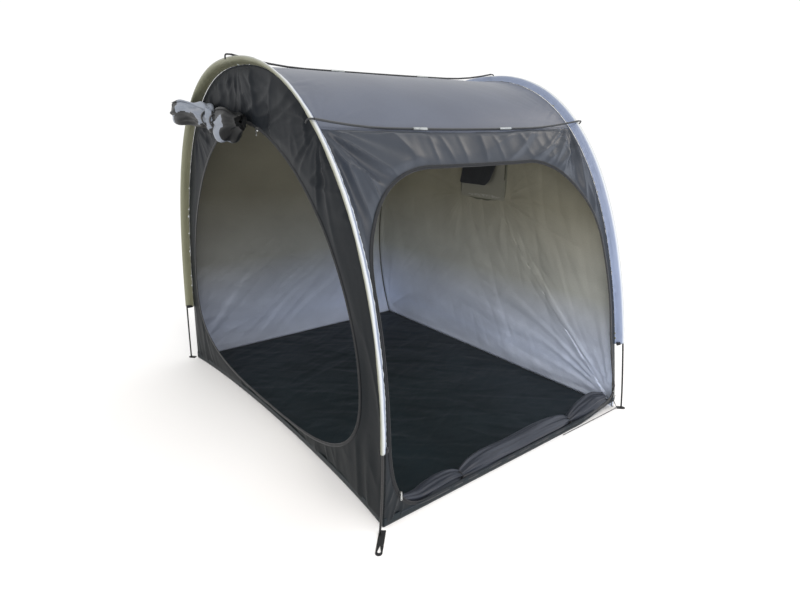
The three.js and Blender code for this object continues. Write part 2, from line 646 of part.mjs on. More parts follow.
// ---- Corner webbing: flat on the ground, from the shell's corner under the pole foot to its eye ----
function strapShape(length) {
  const half = STRAP_WIDTH / 2;
  const shape = new THREE.Shape();
  shape.moveTo(STRAP_START, -half);
  shape.lineTo(length, -half);
  shape.absarc(length, 0, half, -Math.PI / 2, Math.PI / 2, false);
  shape.lineTo(STRAP_START, half);
  if (length < STRAP_LENGTH) return shape;
  const [eyeLength, eyeWidth] = STRAP_EYE;
  const eye = new THREE.Path();
  const eyeEnd = STRAP_LENGTH - eyeWidth / 2;
  eye.moveTo(eyeEnd - eyeLength + eyeWidth, 0);
  eye.lineTo(eyeEnd, eyeWidth / 2);
  eye.absarc(eyeEnd, 0, eyeWidth / 2, Math.PI / 2, -Math.PI / 2, true);
  const points = shape.getPoints(4);
  const flat = new THREE.Shape(points);
  flat.holes.push(new THREE.Path(eye.getPoints(4)));
  return flat;
}
const strapLeanY = Math.sqrt(1 - STRAP_LEAN ** 2);
for (const [side, sideY] of [["front", -1], ["rear", 1]]) {
  for (const [end, endX] of [["a", -1], ["b", 1]]) {
    const pegged = sideY === endX; // two opposite corners are pegged down
    const strap = extrudeZ(strapShape(pegged ? STRAP_LENGTH : STRAP_SHORT), 0, STRAP_THICKNESS);
    strap.rotateZ(Math.atan2(sideY * strapLeanY, endX * STRAP_LEAN));
    const mesh = add(`corner_strap_${side}_${end}`, strap, "webbing");
    mesh.position.set(shellX(end, 0), -sideY * floorHalf, 0);
  }
}

// ---- Zip sliders on the door edges, each with a pull that hangs from its upper end ----
const [SLIDER_WIDTH, SLIDER_DEPTH, SLIDER_LENGTH] = SLIDER_SIZE;
const [PULL_WIDTH, PULL_DEPTH, PULL_LENGTH] = PULL_SIZE;

// Both are drawn facing -Y, with the slider's back at y = 0 and its middle at the origin.
function sliderBody() {
  const half = SLIDER_WIDTH / 2;
  const top = SLIDER_LENGTH / 2;
  const outline = [[-half * 0.6, -top], [half * 0.6, -top], [half, top * 0.5], [half * 0.5, top],
    [-half * 0.5, top], [-half, top * 0.5]];
  const shape = new THREE.Shape(outline.map((p) => new THREE.Vector2(...p)));
  return extrudeY(shape, -SLIDER_DEPTH, 0);
}
function pullTab() {
  const half = PULL_WIDTH / 2;
  const top = SLIDER_LENGTH / 2 - half;
  const foot = top - PULL_LENGTH + PULL_WIDTH;
  const shape = new THREE.Shape();
  shape.moveTo(-half, foot);
  shape.absarc(0, foot, half, Math.PI, 2 * Math.PI, false);
  shape.lineTo(half * 0.6, top);
  shape.absarc(0, top, half * 0.6, 0, Math.PI, false);
  const front = -SLIDER_DEPTH - PULL_CLEAR;
  const flat = new THREE.Shape(shape.getPoints(4));
  const eye = circleShape(half * 0.45, 6);
  flat.holes.push(new THREE.Path(eye.getPoints().map((p) => p.clone().setY(p.y + foot))));
  return extrudeY(flat, front - PULL_DEPTH, front);
}
function addZip(name, position, turnZ) {
  for (const [piece, geometry] of [["slider", sliderBody()], ["pull", pullTab()]]) {
    const mesh = add(`zip_${piece}_${name}`, geometry.rotateZ(turnZ), "zip_metal");
    mesh.position.set(...position);
  }
}

// The point of a curve at a height, for curves that only rise or only fall.
function pointAtHeight(curve, height) {
  let [low, high] = [0, 1];
  const rising = curve.getPoint(1).y > curve.getPoint(0).y;
  for (let i = 0; i < 30; i++) {
    const middle = (low + high) / 2;
    if (curve.getPoint(middle).y < height === rising) low = middle;
    else high = middle;
  }
  return curve.getPoint(low);
}
const FRONT_ZIPS = [["front_a", footCornerA, ZIP_END_HEIGHT_A], ["front_b", flareB, ZIP_END_HEIGHT_B]];
for (const [name, curve, height] of FRONT_ZIPS) {
  const place = pointAtHeight(curve, height);
  const wall = profilePoint(0, BODY_INSET).x;
  addZip(name, [place.x, wall - 1, height], 0);
}
const endZip = endDoorPoint(END_ZIP_ANGLE);
addZip("door_a", [shellX("a", endZip.y) - 1, endZip.x, endZip.y], -Math.PI / 2);

export default tent;
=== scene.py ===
import json
import math

import bmesh
import bpy
import numpy as np
from mathutils import Matrix, Vector

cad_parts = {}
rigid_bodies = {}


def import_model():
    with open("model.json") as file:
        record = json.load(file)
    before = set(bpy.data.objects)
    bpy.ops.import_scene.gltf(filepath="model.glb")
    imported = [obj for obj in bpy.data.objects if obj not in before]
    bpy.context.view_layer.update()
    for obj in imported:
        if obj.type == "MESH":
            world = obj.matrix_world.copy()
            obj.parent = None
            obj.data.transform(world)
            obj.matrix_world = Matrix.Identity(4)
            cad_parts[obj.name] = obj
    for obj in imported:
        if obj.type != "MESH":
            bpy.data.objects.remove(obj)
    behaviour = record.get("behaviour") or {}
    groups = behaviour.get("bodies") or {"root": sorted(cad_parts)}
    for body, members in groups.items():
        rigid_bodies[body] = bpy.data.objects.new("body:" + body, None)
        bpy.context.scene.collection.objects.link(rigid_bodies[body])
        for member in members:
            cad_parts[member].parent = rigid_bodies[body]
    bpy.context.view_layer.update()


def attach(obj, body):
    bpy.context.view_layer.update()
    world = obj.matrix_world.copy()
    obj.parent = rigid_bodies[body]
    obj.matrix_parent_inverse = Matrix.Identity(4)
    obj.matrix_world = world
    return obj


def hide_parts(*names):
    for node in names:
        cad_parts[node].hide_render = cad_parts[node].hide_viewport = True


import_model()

# ---- Camera ----
# It stands outside the front corner of arch A, a little above half the tent's height, with a wide
# lens. The lens's axis is a little off the middle of the picture, which the shift gives back.
AZIMUTH, ELEVATION, ROLL = math.radians(-39.37), math.radians(16.54), math.radians(0.52)
LOOK_AT = Vector((0.146, -0.127, 0.542))
DISTANCE = 3.081

back = Vector((math.sin(AZIMUTH) * math.cos(ELEVATION),
               -math.cos(AZIMUTH) * math.cos(ELEVATION), math.sin(ELEVATION)))
level = Vector((math.cos(AZIMUTH), math.sin(AZIMUTH), 0))
upright = back.cross(level)
across = level * math.cos(ROLL) + upright * math.sin(ROLL)
upward = back.cross(across)
camera_data = bpy.data.cameras.new("camera")
camera_data.sensor_width = 36
camera_data.lens = 25.71
camera_data.shift_x = -0.0281
camera_data.shift_y = -0.0137
camera = bpy.data.objects.new("camera", camera_data)
place = LOOK_AT + back * DISTANCE
camera.matrix_world = Matrix((
    (across.x, upward.x, back.x, place.x),
    (across.y, upward.y, back.y, place.y),
    (across.z, upward.z, back.z, place.z),
    (0, 0, 0, 1)))
bpy.context.scene.collection.objects.link(camera)
bpy.context.scene.camera = camera

# ---- Floor and light ----
# A white sweep of floor, a bright overcast sky, a large soft lamp high in front of end A, and
# three weaker ones that fill the far end, the doorway and the roof's lower edge.


def linear(code):
    """An sRGB hex colour as linear red, green, blue and an alpha of 1."""
    parts = [int(code[i:i + 2], 16) / 255 for i in (1, 3, 5)]
    return [c / 12.92 if c <= 0.04045 else ((c + 0.055) / 1.055) ** 2.4 for c in parts] + [1]


def node(tree, kind, links=None, **settings):
    """Adds a node, sets its properties, and joins or sets its inputs, named or numbered."""
    new = tree.nodes.new(kind)
    for key, value in settings.items():
        setattr(new, key, value)
    for key, value in (links or {}).items():
        if isinstance(value, bpy.types.NodeSocket):
            tree.links.new(value, new.inputs[key])
        else:
            new.inputs[key].default_value = value
    return new


def material(name, **sockets):
    """A new material: its tree and its Principled shader, with plain values set on the shader."""
    made = bpy.data.materials.new(name)
    made.use_nodes = True
    shader = made.node_tree.nodes["Principled BSDF"]
    for key, value in sockets.items():
        shader.inputs[key.replace("_", " ")].default_value = value
    return made, made.node_tree, shader


FLOOR_SIZE = 30
bpy.ops.mesh.primitive_plane_add(size=FLOOR_SIZE, location=(0, 0, -0.001))
ground = bpy.context.object
ground.name = "studio_floor"
ground_paint = material("matt white studio floor", Base_Color=linear("#fbfbfb"), Roughness=0.9)[0]
ground.data.materials.append(ground_paint)

sky = bpy.data.worlds.new("overcast")
sky.use_nodes = True
sky.node_tree.nodes["Background"].inputs["Color"].default_value = linear("#ffffff")
sky.node_tree.nodes["Background"].inputs["Strength"].default_value = 1.05
bpy.context.scene.world = sky
bpy.context.scene.view_settings.view_transform = "Standard"


def soft_lamp(name, place, aim, size, power, tint):
    """A square area lamp of a size and power in metres and watts, turned to a point."""
    data = bpy.data.lights.new(name, "AREA")
    data.size = size
    data.energy = power
    data.color = linear(tint)[:3]
    lamp = bpy.data.objects.new(name, data)
    lamp.location = place
    lamp.rotation_euler = (Vector(aim) - Vector(place)).to_track_quat("-Z", "Y").to_euler()
    bpy.context.scene.collection.objects.link(lamp)


soft_lamp("high_soft_lamp", (-1.2, -4.2, 5.2), (0, 0, 0.9), 3.4, 150, "#fff4e8")
soft_lamp("side_fill", (4.6, -3.2, 2.6), (0.2, 0, 0.7), 2.5, 45, "#e9f0ff")
soft_lamp("low_front_bounce", (-0.2, -3.6, 0.5), (0.45, 0.2, 0.35), 2.2, 40, "#eef2ff")
soft_lamp("roof_glow", (4.2, -0.8, 4.4), (0.1, -0.5, 1.4), 1.6, 26, "#fff2e0")

# ---- Arch poles ----
# Seven pultruded fibreglass tubes make each arch, end to end on an elastic cord, black and satin.
# Both arches are superellipses that run on below their widest height to the ground. The poles run
# in the sleeves and show only below them.
APEX, SPAN, WIDEST, POWER = 1.650, 1.016, 0.256, 2.25
HALF_LENGTH = 0.7615
BOW_A, BOW_B, LEAN_B = 0.016, 0.087, 0.030
POLE = 0.00425
SECTIONS = 7
FOOT_Z = 0.0034


def signed_power(value, power):
    """A power that keeps the value's sign."""
    return np.sign(value) * np.abs(value) ** power


def outline(angle, inset=0.0):
    """(Y, Z) of the superellipse at an angle: 0 at the front's widest, a quarter turn on top."""
    y = -(SPAN - inset) * signed_power(np.cos(angle), 2 / POWER)
    z = WIDEST + (APEX - WIDEST - inset) * signed_power(np.sin(angle), 2 / POWER)
    return y, z


def angle_at(z, inset=0.0):
    """The angle at which the front half of the outline is at a height."""
    return np.arcsin(signed_power((z - WIDEST) / (APEX - WIDEST - inset), POWER / 2))


def arch_x(end, z):
    """X of an arch at a height: its foot, drawn in by its bow and its lean."""
    share = z / APEX
    bow = 4 * share * (1 - share)
    if end == "a":
        return -HALF_LENGTH + BOW_A * bow
    return HALF_LENGTH - LEAN_B * share - BOW_B * bow


def lengths_along(points):
    """How far along a line of points each of them is."""
    return np.concatenate([[0], np.cumsum(np.linalg.norm(np.diff(points, axis=0), axis=1))])


def cloth_mesh(name, points, uv, wrap=False, paint=None, face_paint=None):
    """A grid of points as one smooth mesh, with a UV map in metres. wrap joins the last column
    to the first."""
    rows, columns = points.shape[:2]
    index = np.arange(rows * columns).reshape(rows, columns)
    if wrap:
        index = np.concatenate([index, index[:, :1]], axis=1)
    quads = np.stack([index[:-1, :-1], index[:-1, 1:], index[1:, 1:], index[1:, :-1]], -1).reshape(-1, 4)
    mesh = bpy.data.meshes.new(name)
    mesh.from_pydata(points.reshape(-1, 3), [], quads)
    layer = mesh.uv_layers.new(name="cloth")
    layer.data.foreach_set("uv", uv.reshape(-1, 2)[quads.reshape(-1)].astype(np.float32).ravel())
    mesh.polygons.foreach_set("use_smooth", np.ones(len(quads), bool))
    for item in paint or []:
        mesh.materials.append(item)
    if face_paint is not None:
        mesh.polygons.foreach_set("material_index", face_paint.astype(np.int32).ravel())
    made = bpy.data.objects.new(name, mesh)
    bpy.context.scene.collection.objects.link(made)
    return made


def frames_along(path, side):
    """At each point of a path, two directions square to it. The first is as near as it can be to
    a given side direction."""
    tangent = np.gradient(path, axis=0)
    tangent /= np.linalg.norm(tangent, axis=1, keepdims=True)
    first = np.broadcast_to(np.array(side, float), path.shape)
    first = first - tangent * np.sum(first * tangent, axis=1, keepdims=True)
    first = first / np.linalg.norm(first, axis=1, keepdims=True)
    return first, np.cross(tangent, first)


def sweep(name, path, section, side, paint, scale=None, cap=True):
    """A closed section, (a, b) in metres, carried along a path, with a round-off at each end.
    scale gives the section's size at each point of the path."""
    path = np.array(path, float)
    first, second = frames_along(path, side)
    size = np.ones(len(path)) if scale is None else np.array(scale, float)
    if cap:
        path = np.concatenate([path[:1], path, path[-1:]])
        first = np.concatenate([first[:1], first, first[-1:]])
        second = np.concatenate([second[:1], second, second[-1:]])
        size = np.concatenate([[0], size, [0]])
    section = np.array(section, float)
    if section.ndim == 2:
        section = np.broadcast_to(section, (len(path),) + section.shape)
    elif cap:
        section = np.concatenate([section[:1], section, section[-1:]])
    points = (path[:, None] + section[..., :1] * first[:, None] * size[:, None, None]
              + section[..., 1:] * second[:, None] * size[:, None, None])
    run = lengths_along(path)
    turn = lengths_along(section[1])
    uv = np.stack(np.meshgrid(run, turn, indexing="ij"), -1)
    made = cloth_mesh(name, points, uv, wrap=True, paint=paint)
    shape = made.data
    if cap:
        work = bmesh.new()
        work.from_mesh(shape)
        bmesh.ops.remove_doubles(work, verts=work.verts, dist=1e-6)
        bmesh.ops.recalc_face_normals(work, faces=work.faces)
        work.to_mesh(shape)
        work.free()
    return made


def round_section(radius, sides):
    """A circle's points."""
    turn = np.linspace(0, 2 * np.pi, sides, endpoint=False)
    return np.stack([radius * np.cos(turn), radius * np.sin(turn)], -1)


def belongs(piece, stands_for=None, body="root"):
    """Puts a piece on its body, and in place of the solid it stands for."""
    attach(piece, body)
    if stands_for:
        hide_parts(stands_for)


glass_fibre, fibre_tree, fibre_shader = material("pultruded fibreglass, black", Roughness=0.38,
                                                 Specular_IOR_Level=0.55)
fibre_where = node(fibre_tree, "ShaderNodeUVMap", uv_map="cloth").outputs[0]
fibre_map = node(fibre_tree, "ShaderNodeMapping", {"Vector": fibre_where, "Scale": (4, 900, 1)})
fibre_streak = node(fibre_tree, "ShaderNodeTexNoise", {"Vector": fibre_map.outputs[0], "Scale": 1.0})
fibre_ramp = node(fibre_tree, "ShaderNodeValToRGB", {"Fac": fibre_streak.outputs[0]})
fibre_ramp.color_ramp.elements[0].color = linear("#070808")
fibre_ramp.color_ramp.elements[1].color = linear("#151618")
fibre_tree.links.new(fibre_ramp.outputs[0], fibre_shader.inputs["Base Color"])


def arch_path(end, low, count=1600):
    """Points of an arch's centre line, evenly spaced, from one foot at a height to the other."""
    base = float(angle_at(low))
    y, z = outline(np.linspace(base, math.pi - base, count))
    path = np.stack([arch_x(end, z), y, z], -1)
    run = lengths_along(path)
    even = np.linspace(0, run[-1], count)
    return np.stack([np.interp(even, run, path[:, k]) for k in range(3)], -1)


def arch_tubes(end):
    """Cuts an arch into equal lengths, with a hair's gap between, and makes each one a round tube."""
    path = arch_path(end, FOOT_Z)
    run = np.linspace(0, 1, len(path))
    gap = 0.0004 / lengths_along(path)[-1]
    for i in range(SECTIONS):
        at = np.linspace(i / SECTIONS + gap, (i + 1) / SECTIONS - gap, 40)
        part = np.stack([np.interp(at, run, path[:, k]) for k in range(3)], -1)
        tube = sweep(f"arch_{end}_tube_{i + 1}", part, round_section(POLE, 20), (1, 0, 0), [glass_fibre])
        belongs(tube, f"arch_{end}_pole_{i + 1}")


for end in "ab":
    arch_tubes(end)

# ---- Shell ----
# Polyester taffeta, woven close and calendered, so it has a faint sheen across the weave, with a
# greyer, slightly metallic silver polyurethane coat inside. The shell hangs from sleeves a little
# inside the arches, and draws in towards the middle of its length.
SETBACK, INSET, WAIST = 0.033, 0.025, 0.018
SHOULDER = 0.939


def half_width(z, inset=0.0):
    """Half the width of the outline at a height."""
    share = np.abs((z - WIDEST) / (APEX - WIDEST - inset)) ** POWER
    return (SPAN - inset) * np.clip(1 - share, 0, 1) ** (1 / POWER)


def shell_x(end, z):
    """X of the shell's end seam at a height."""
    return arch_x(end, z) + (SETBACK if end == "a" else -SETBACK)


def smooth(value, low, high):
    """0 below low, 1 above high, and an S-curve between."""
    t = np.clip((value - low) / (high - low), 0, 1)
    return t * t * (3 - 2 * t)


def noise(u, v, seed):
    """Smooth random ups and downs from about -1 to 1, one to each unit square of u and v.
    A random slope stands at each whole number, and the slopes are blended between."""
    turns = np.random.default_rng(seed).uniform(0, 2 * np.pi, 4096)
    iu, iv = np.floor(u).astype(int), np.floor(v).astype(int)
    fu, fv = u - iu, v - iv
    total = np.zeros_like(fu)
    for du in (0, 1):
        for dv in (0, 1):
            turn = turns[((iu + du) * 73 + (iv + dv) * 911) % 4096]
            slope = np.cos(turn) * (fu - du) + np.sin(turn) * (fv - dv)
            wu = np.abs(1 - du - fu)
            wv = np.abs(1 - dv - fv)
            total += slope * (wu ** 3 * (wu * (wu * 6 - 15) + 10)) * (wv ** 3 * (wv * (wv * 6 - 15) + 10))
    return total * 1.6


def folds(u, v, heading, pitch, reach, seed):
    """Long soft creases: noise drawn out along a heading, half of it sharpened into ridges."""
    along = u * math.cos(heading) + v * math.sin(heading)
    beside = -u * math.sin(heading) + v * math.cos(heading)
    beside = beside + 0.2 * pitch * noise(along / reach, beside / pitch / 3, seed + 7)
    wave = noise(along / reach, beside / pitch, seed)
    return 0.5 * wave + 0.5 * np.clip(1 - np.abs(wave) * 2.2, 0, 1) ** 2


def fan(u, v, centre, rays, reach, seed):
    """Long creases that run out from a pulled corner, and fade with distance."""
    du, dv = u - centre[0], v - centre[1]
    far = np.hypot(du, dv) + 1e-6
    turn = np.arctan2(dv, du)
    wave = noise(turn * rays / np.pi * 1.6, far / reach * 0.35, seed)
    ray = 0.6 * wave + 0.4 * np.clip(1 - np.abs(wave) * 2, 0, 1) ** 2
    return ray * np.exp(-far / reach) * smooth(far, 0.0, 0.12)


def thicken(piece, thickness, lining=True):
    """Gives a sheet its thickness inwards, with the second material on its inner side."""
    wall = piece.modifiers.new("cloth thickness", "SOLIDIFY")
    wall.thickness = thickness
    wall.offset = -1
    wall.material_offset = 1 if lining else 0
    wall.use_even_offset = False


THREAD = 0.0022  # the real thread is a tenth of this, too fine to show


def woven(name, colour, roughness, sheen, bump, shade=0.06, metallic=0.0, foot=None):
    """Cloth with a close weave: warp and weft as two fine waves, soft mottling, and a few long
    creases that catch the light. foot is the colour of painted shade towards the ground."""
    made, tree, shader = material(name, Roughness=roughness, Metallic=metallic, Sheen_Weight=sheen,
                                  Sheen_Roughness=0.4, Specular_IOR_Level=0.22)
    where = node(tree, "ShaderNodeUVMap", uv_map="cloth").outputs[0]
    cloud = node(tree, "ShaderNodeTexNoise", {"Vector": where, "Scale": 3.2, "Detail": 4.0})
    grain = node(tree, "ShaderNodeTexNoise", {"Vector": where, "Scale": 160.0, "Detail": 2.0})
    tone = node(tree, "ShaderNodeMix", {"Factor": 0.3, 2: cloud.outputs[0], 3: grain.outputs[0]})
    dark = [c * (1 - shade * 2.2) for c in linear(colour)[:3]] + [1]
    pale = [min(1, c * (1 + shade * 2.2)) for c in linear(colour)[:3]] + [1]
    ramp = node(tree, "ShaderNodeValToRGB", {"Fac": tone.outputs[0]})
    ramp.color_ramp.elements[0].position = 0.3
    ramp.color_ramp.elements[0].color = dark
    ramp.color_ramp.elements[1].position = 0.7
    ramp.color_ramp.elements[1].color = pale
    tree.links.new(ramp.outputs[0], shader.inputs["Base Color"])
    # Painted shade: below 1.25 m the colour is blended towards foot, fully so at 0.05 m.
    if foot:
        high = node(tree, "ShaderNodeSeparateXYZ",
                    {"Vector": node(tree, "ShaderNodeTexCoord").outputs["Object"]})
        rise = node(tree, "ShaderNodeMapRange", {"Value": high.outputs["Z"], 1: 0.05, 2: 1.25})
        painted_shade_low = node(tree, "ShaderNodeMix", {"Factor": rise.outputs[0], 6: linear(foot),
                    7: ramp.outputs[0]}, data_type="RGBA")
        tree.links.new(painted_shade_low.outputs[2], shader.inputs["Base Color"])
    waves = []
    for direction in ("X", "Y"):
        waves.append(node(tree, "ShaderNodeTexWave", {"Vector": where, "Scale": 1 / THREAD / 6.28,
                          "Distortion": 0.4}, bands_direction=direction).outputs["Fac"])
    weave = node(tree, "ShaderNodeMath", {0: waves[0], 1: waves[1]}, operation="MULTIPLY")
    crumple = node(tree, "ShaderNodeTexNoise", {"Vector": where, "Scale": 22.0, "Detail": 5.0,
                   "Roughness": 0.5})
    fine = node(tree, "ShaderNodeBump", {"Height": weave.outputs[0], "Strength": 0.12,
                "Distance": 0.0004})
    coarse = node(tree, "ShaderNodeBump", {"Height": crumple.outputs[0], "Strength": bump,
                  "Distance": 0.006, "Normal": fine.outputs[0]})
    tree.links.new(coarse.outputs[0], shader.inputs["Normal"])
    return made


roof_cloth = woven("coated polyester taffeta, grey", "#515764", 0.36, 0.04, 0.08, 0.05)
# The slate walls are painted darker towards the ground: painted shade.
slate_cloth = woven("coated polyester taffeta, slate", "#32373f", 0.34, 0.03, 0.14, foot="#0f161b")
end_cloth = woven("coated polyester taffeta, dark slate", "#171b20", 0.42, 0.01, 0.14, foot="#0b1216")
end_cloth.node_tree.nodes["Principled BSDF"].inputs["Specular IOR Level"].default_value = 0.10
lining = woven("silver polyurethane coat on polyester", "#a3a49c", 0.46, 0.0, 0.16, 0.05, 0.12)
# Painted light: the coat is painted paler and bluer towards the foot of the walls, where daylight
# comes through it, and painted a darker olive under the roof, as painted shade.
lining_tree = lining.node_tree
lining_high = node(lining_tree, "ShaderNodeSeparateXYZ",
                   {"Vector": node(lining_tree, "ShaderNodeTexCoord").outputs["Object"]})
lining_painted_light_by_height = node(lining_tree, "ShaderNodeValToRGB", {"Fac": lining_high.outputs["Z"]})
lining_painted_light_by_height.color_ramp.elements[0].color = linear("#e4edff")
lining_painted_light_by_height.color_ramp.elements[1].color = linear("#8a8776")
for stop, colour in ((0.16, "#dde8ff"), (0.36, "#c6cedd"), (0.58, "#a9aba5"), (0.84, "#969589")):
    lining_painted_light_by_height.color_ramp.elements.new(stop).color = linear(colour)
lining_cloud = next(n for n in lining_tree.nodes if n.bl_idname == "ShaderNodeValToRGB"
                    and n is not lining_painted_light_by_height)
lining_cloud.color_ramp.elements[0].color = linear("#e2e2e2")
lining_cloud.color_ramp.elements[1].color = linear("#ffffff")
lining_mix = node(lining_tree, "ShaderNodeMix", {"Factor": 1.0, 6: lining_painted_light_by_height.outputs[0],
                  7: lining_cloud.outputs[0]}, data_type="RGBA", blend_type="MULTIPLY")
# Painted shade: the lining is darkened to 0.4 of its colour at end A, and is full at end B.
lining_painted_shade_by_x = node(lining_tree, "ShaderNodeMapRange",
                  {"Value": lining_high.outputs["X"], 1: -0.75, 2: 0.75, 3: 0.40, 4: 1.0})
lining_mix = node(lining_tree, "ShaderNodeMix", {"Factor": 1.0, 6: lining_mix.outputs[2],
                  7: lining_painted_shade_by_x.outputs[0]}, data_type="RGBA", blend_type="MULTIPLY")
lining_tree.links.new(lining_mix.outputs[2], lining_tree.nodes["Principled BSDF"].inputs["Base Color"])
floor_cloth = woven("polyethylene-backed groundsheet", "#141e23", 0.50, 0.05, 0.40, 0.12)
CLOTH = 0.0012

# ---- Roof ----
# One slate-grey panel from shoulder seam to shoulder seam, sewn to both sleeves. It is stretched
# tight, so only a shallow waist and a few creases at its corners show.


def barrel(name, first, last, columns, rows, ripple, paint):
    """A band of the barrel. x runs between the end seams, and the angle from first to last;
    ripple(x, arc, z) gives the creases, in metres outwards."""
    t = np.linspace(0, 1, rows)[:, None] * np.ones(columns)
    s = np.linspace(0, 1, columns)[None, :] * np.ones((rows, 1))
    angle = first + (last - first) * t
    y, z = outline(angle, INSET)
    x = shell_x("a", z) * (1 - s) + shell_x("b", z) * s
    waist = WAIST * 4 * s * (1 - s) * smooth(z, 0.3, 0.9) * (1 - 0.7 * smooth(z, 1.4, 1.625))
    arc = lengths_along(np.stack([y[:, 0], z[:, 0]], -1))[:, None] * np.ones(columns)
    edge = smooth(np.minimum(s, 1 - s), 0, 0.03)
    outward = np.stack([y, z - WIDEST], -1)
    outward /= np.linalg.norm(outward, axis=-1, keepdims=True)
    move = ripple(x, arc, z, s, t) * edge - waist
    points = np.stack([x, y + outward[..., 0] * move, z + outward[..., 1] * move], -1)
    return cloth_mesh(name, points, np.stack([x, arc], -1), paint=paint)


def roof_ripple(x, arc, z, s, t):
    """Nearly smooth, with pulls towards the four hooks and a slack edge along each sleeve. It lies
    flat at the shoulder seams, and a little low between them, clear of the ridge pole."""
    soft = 0.003 * noise(x / 0.35, arc / 0.3, 3)
    corner = sum(fan(x, arc, (cx, cy), 14, 0.22, 11 + k) for k, (cx, cy) in enumerate(
        ((-0.72, 0.0), (0.64, 0.0), (-0.72, 1.42), (0.64, 1.42))))
    slack = folds(x, arc, 0.5, 0.05, 0.3, 5) * smooth(np.minimum(s, 1 - s), 0.16, 0.02)
    return (soft + 0.004 * corner - 0.003 * slack - 0.0025) * smooth(np.minimum(t, 1 - t), 0, 0.05)


SEAM = 0.0005
roof = barrel("roof_cloth", SHOULDER + SEAM, math.pi - SHOULDER - SEAM, 170, 150, roof_ripple,
              [roof_cloth, lining])
thicken(roof, CLOTH)
belongs(roof, "roof_panel")

# ---- Back wall ----
# One panel from the floor seam up to the rear shoulder seam. It hangs a little slack, so it has
# long shallow creases, and its silver inside shows through both doors.


def back_ripple(x, arc, z, s, t):
    """Shallow creases that run up and across, deeper low down where the cloth is slack."""
    low = smooth(z, 1.0, 0.2)
    wide = 0.010 * noise(x / 0.6, arc / 0.5, 21)
    fine = (0.003 * folds(x, arc, 0.3, 0.13, 0.9, 22) + 0.004 * folds(x, arc, -0.6, 0.09, 0.6, 24) * low
            - 0.012 * fan(x, arc, (-0.72, 1.42), 12, 0.35, 26)
            - 0.012 * fan(x, arc, (0.70, 1.42), 12, 0.30, 28))
    return (wide - fine * (0.5 + low)) * smooth(t, 1.0, 0.9) * smooth(t, 0.0, 0.05)


rear_base = math.pi - float(angle_at(0.004, INSET))
back_wall = barrel("back_wall_cloth", math.pi - SHOULDER + SEAM, rear_base, 170, 150, back_ripple,
                   [slate_cloth, lining])
thicken(back_wall, CLOTH)
belongs(back_wall, "back_wall")

# ---- End wall A ----
# Dark slate, with the big door cut out of it. It is sewn to sleeve A all round, and its foot is
# drawn in along the floor because nothing holds the middle of it.
DOOR_A_CENTRE, DOOR_A_HALF, DOOR_A_WIDEST = 0.039, 0.857, 0.480
DOOR_A_TOP, DOOR_A_SILL = 1.398, 0.062
FOOT_DRAW = 0.050
BASE_Z = 0.003  # the foot of every wall, on top of the groundsheet


def spokes(centre, inner, outer, corners, count, rings):
    """Two closed curves joined by straight spokes. Both are turned into distances from a centre
    as a function of direction, and each corner of the outer one gets a spoke of its own."""
    def polar(curve):
        d = curve - centre
        turn = np.arctan2(d[:, 1], d[:, 0])
        order = np.argsort(turn)
        return turn[order], np.hypot(d[:, 0], d[:, 1])[order]
    turn_in, far_in = polar(inner)
    turn_out, far_out = polar(outer)
    run = lengths_along(outer)
    even = np.stack([np.interp(np.linspace(0, run[-1], count, endpoint=False), run, outer[:, k])
                     for k in (0, 1)], -1)
    turns = np.arctan2(even[:, 1] - centre[1], even[:, 0] - centre[0])
    fixed = [math.atan2(c[1] - centre[1], c[0] - centre[0]) for c in corners]
    turns = np.unique(np.concatenate([turns, fixed]))
    near = np.interp(turns, turn_in, far_in, period=2 * np.pi)
    far = np.interp(turns, turn_out, far_out, period=2 * np.pi)
    part = np.linspace(0, 1, rings)[:, None]
    reach = near * (1 - part) + far * part
    edge = reach - near
    rim = far - reach
    return centre[0] + reach * np.cos(turns), centre[1] + reach * np.sin(turns), edge, rim


def closed(points):
    """A closed curve's points, with the first repeated at the end."""
    return np.concatenate([points, points[:1]])


def end_door(angle):
    """(Y, Z) of the end door's edge: a superellipse, blunter below its widest than above."""
    up = np.sin(angle) >= 0
    power = np.where(up, 2 / 1.8, 2 / 2.6)
    height = np.where(up, DOOR_A_TOP - DOOR_A_WIDEST, DOOR_A_WIDEST - DOOR_A_SILL)
    return np.stack([DOOR_A_CENTRE + DOOR_A_HALF * signed_power(np.cos(angle), power),
                     DOOR_A_WIDEST + height * signed_power(np.sin(angle), power)], -1)


def shell_outline(count):
    """The shell's profile from the front foot over the top to the back foot, and back along z=0."""
    base = float(angle_at(BASE_Z, INSET))
    y, z = outline(np.linspace(base, math.pi - base, count), INSET)
    foot = np.linspace(y[-1], y[0], count // 3)[1:-1]
    ring = np.concatenate([np.stack([y, z], -1), np.stack([foot, np.full(len(foot), BASE_Z)], -1)])
    return ring, [(y[0], z[0]), (y[-1], z[-1])]


def foot_draw(y, z):
    """How far the foot of end wall A is drawn in at a place on the wall."""
    across_it = np.clip(1 - (y / 0.98) ** 2, 0, 1) ** 0.8
    return FOOT_DRAW * across_it * np.exp(-np.clip(z, 0, None) / 0.22)


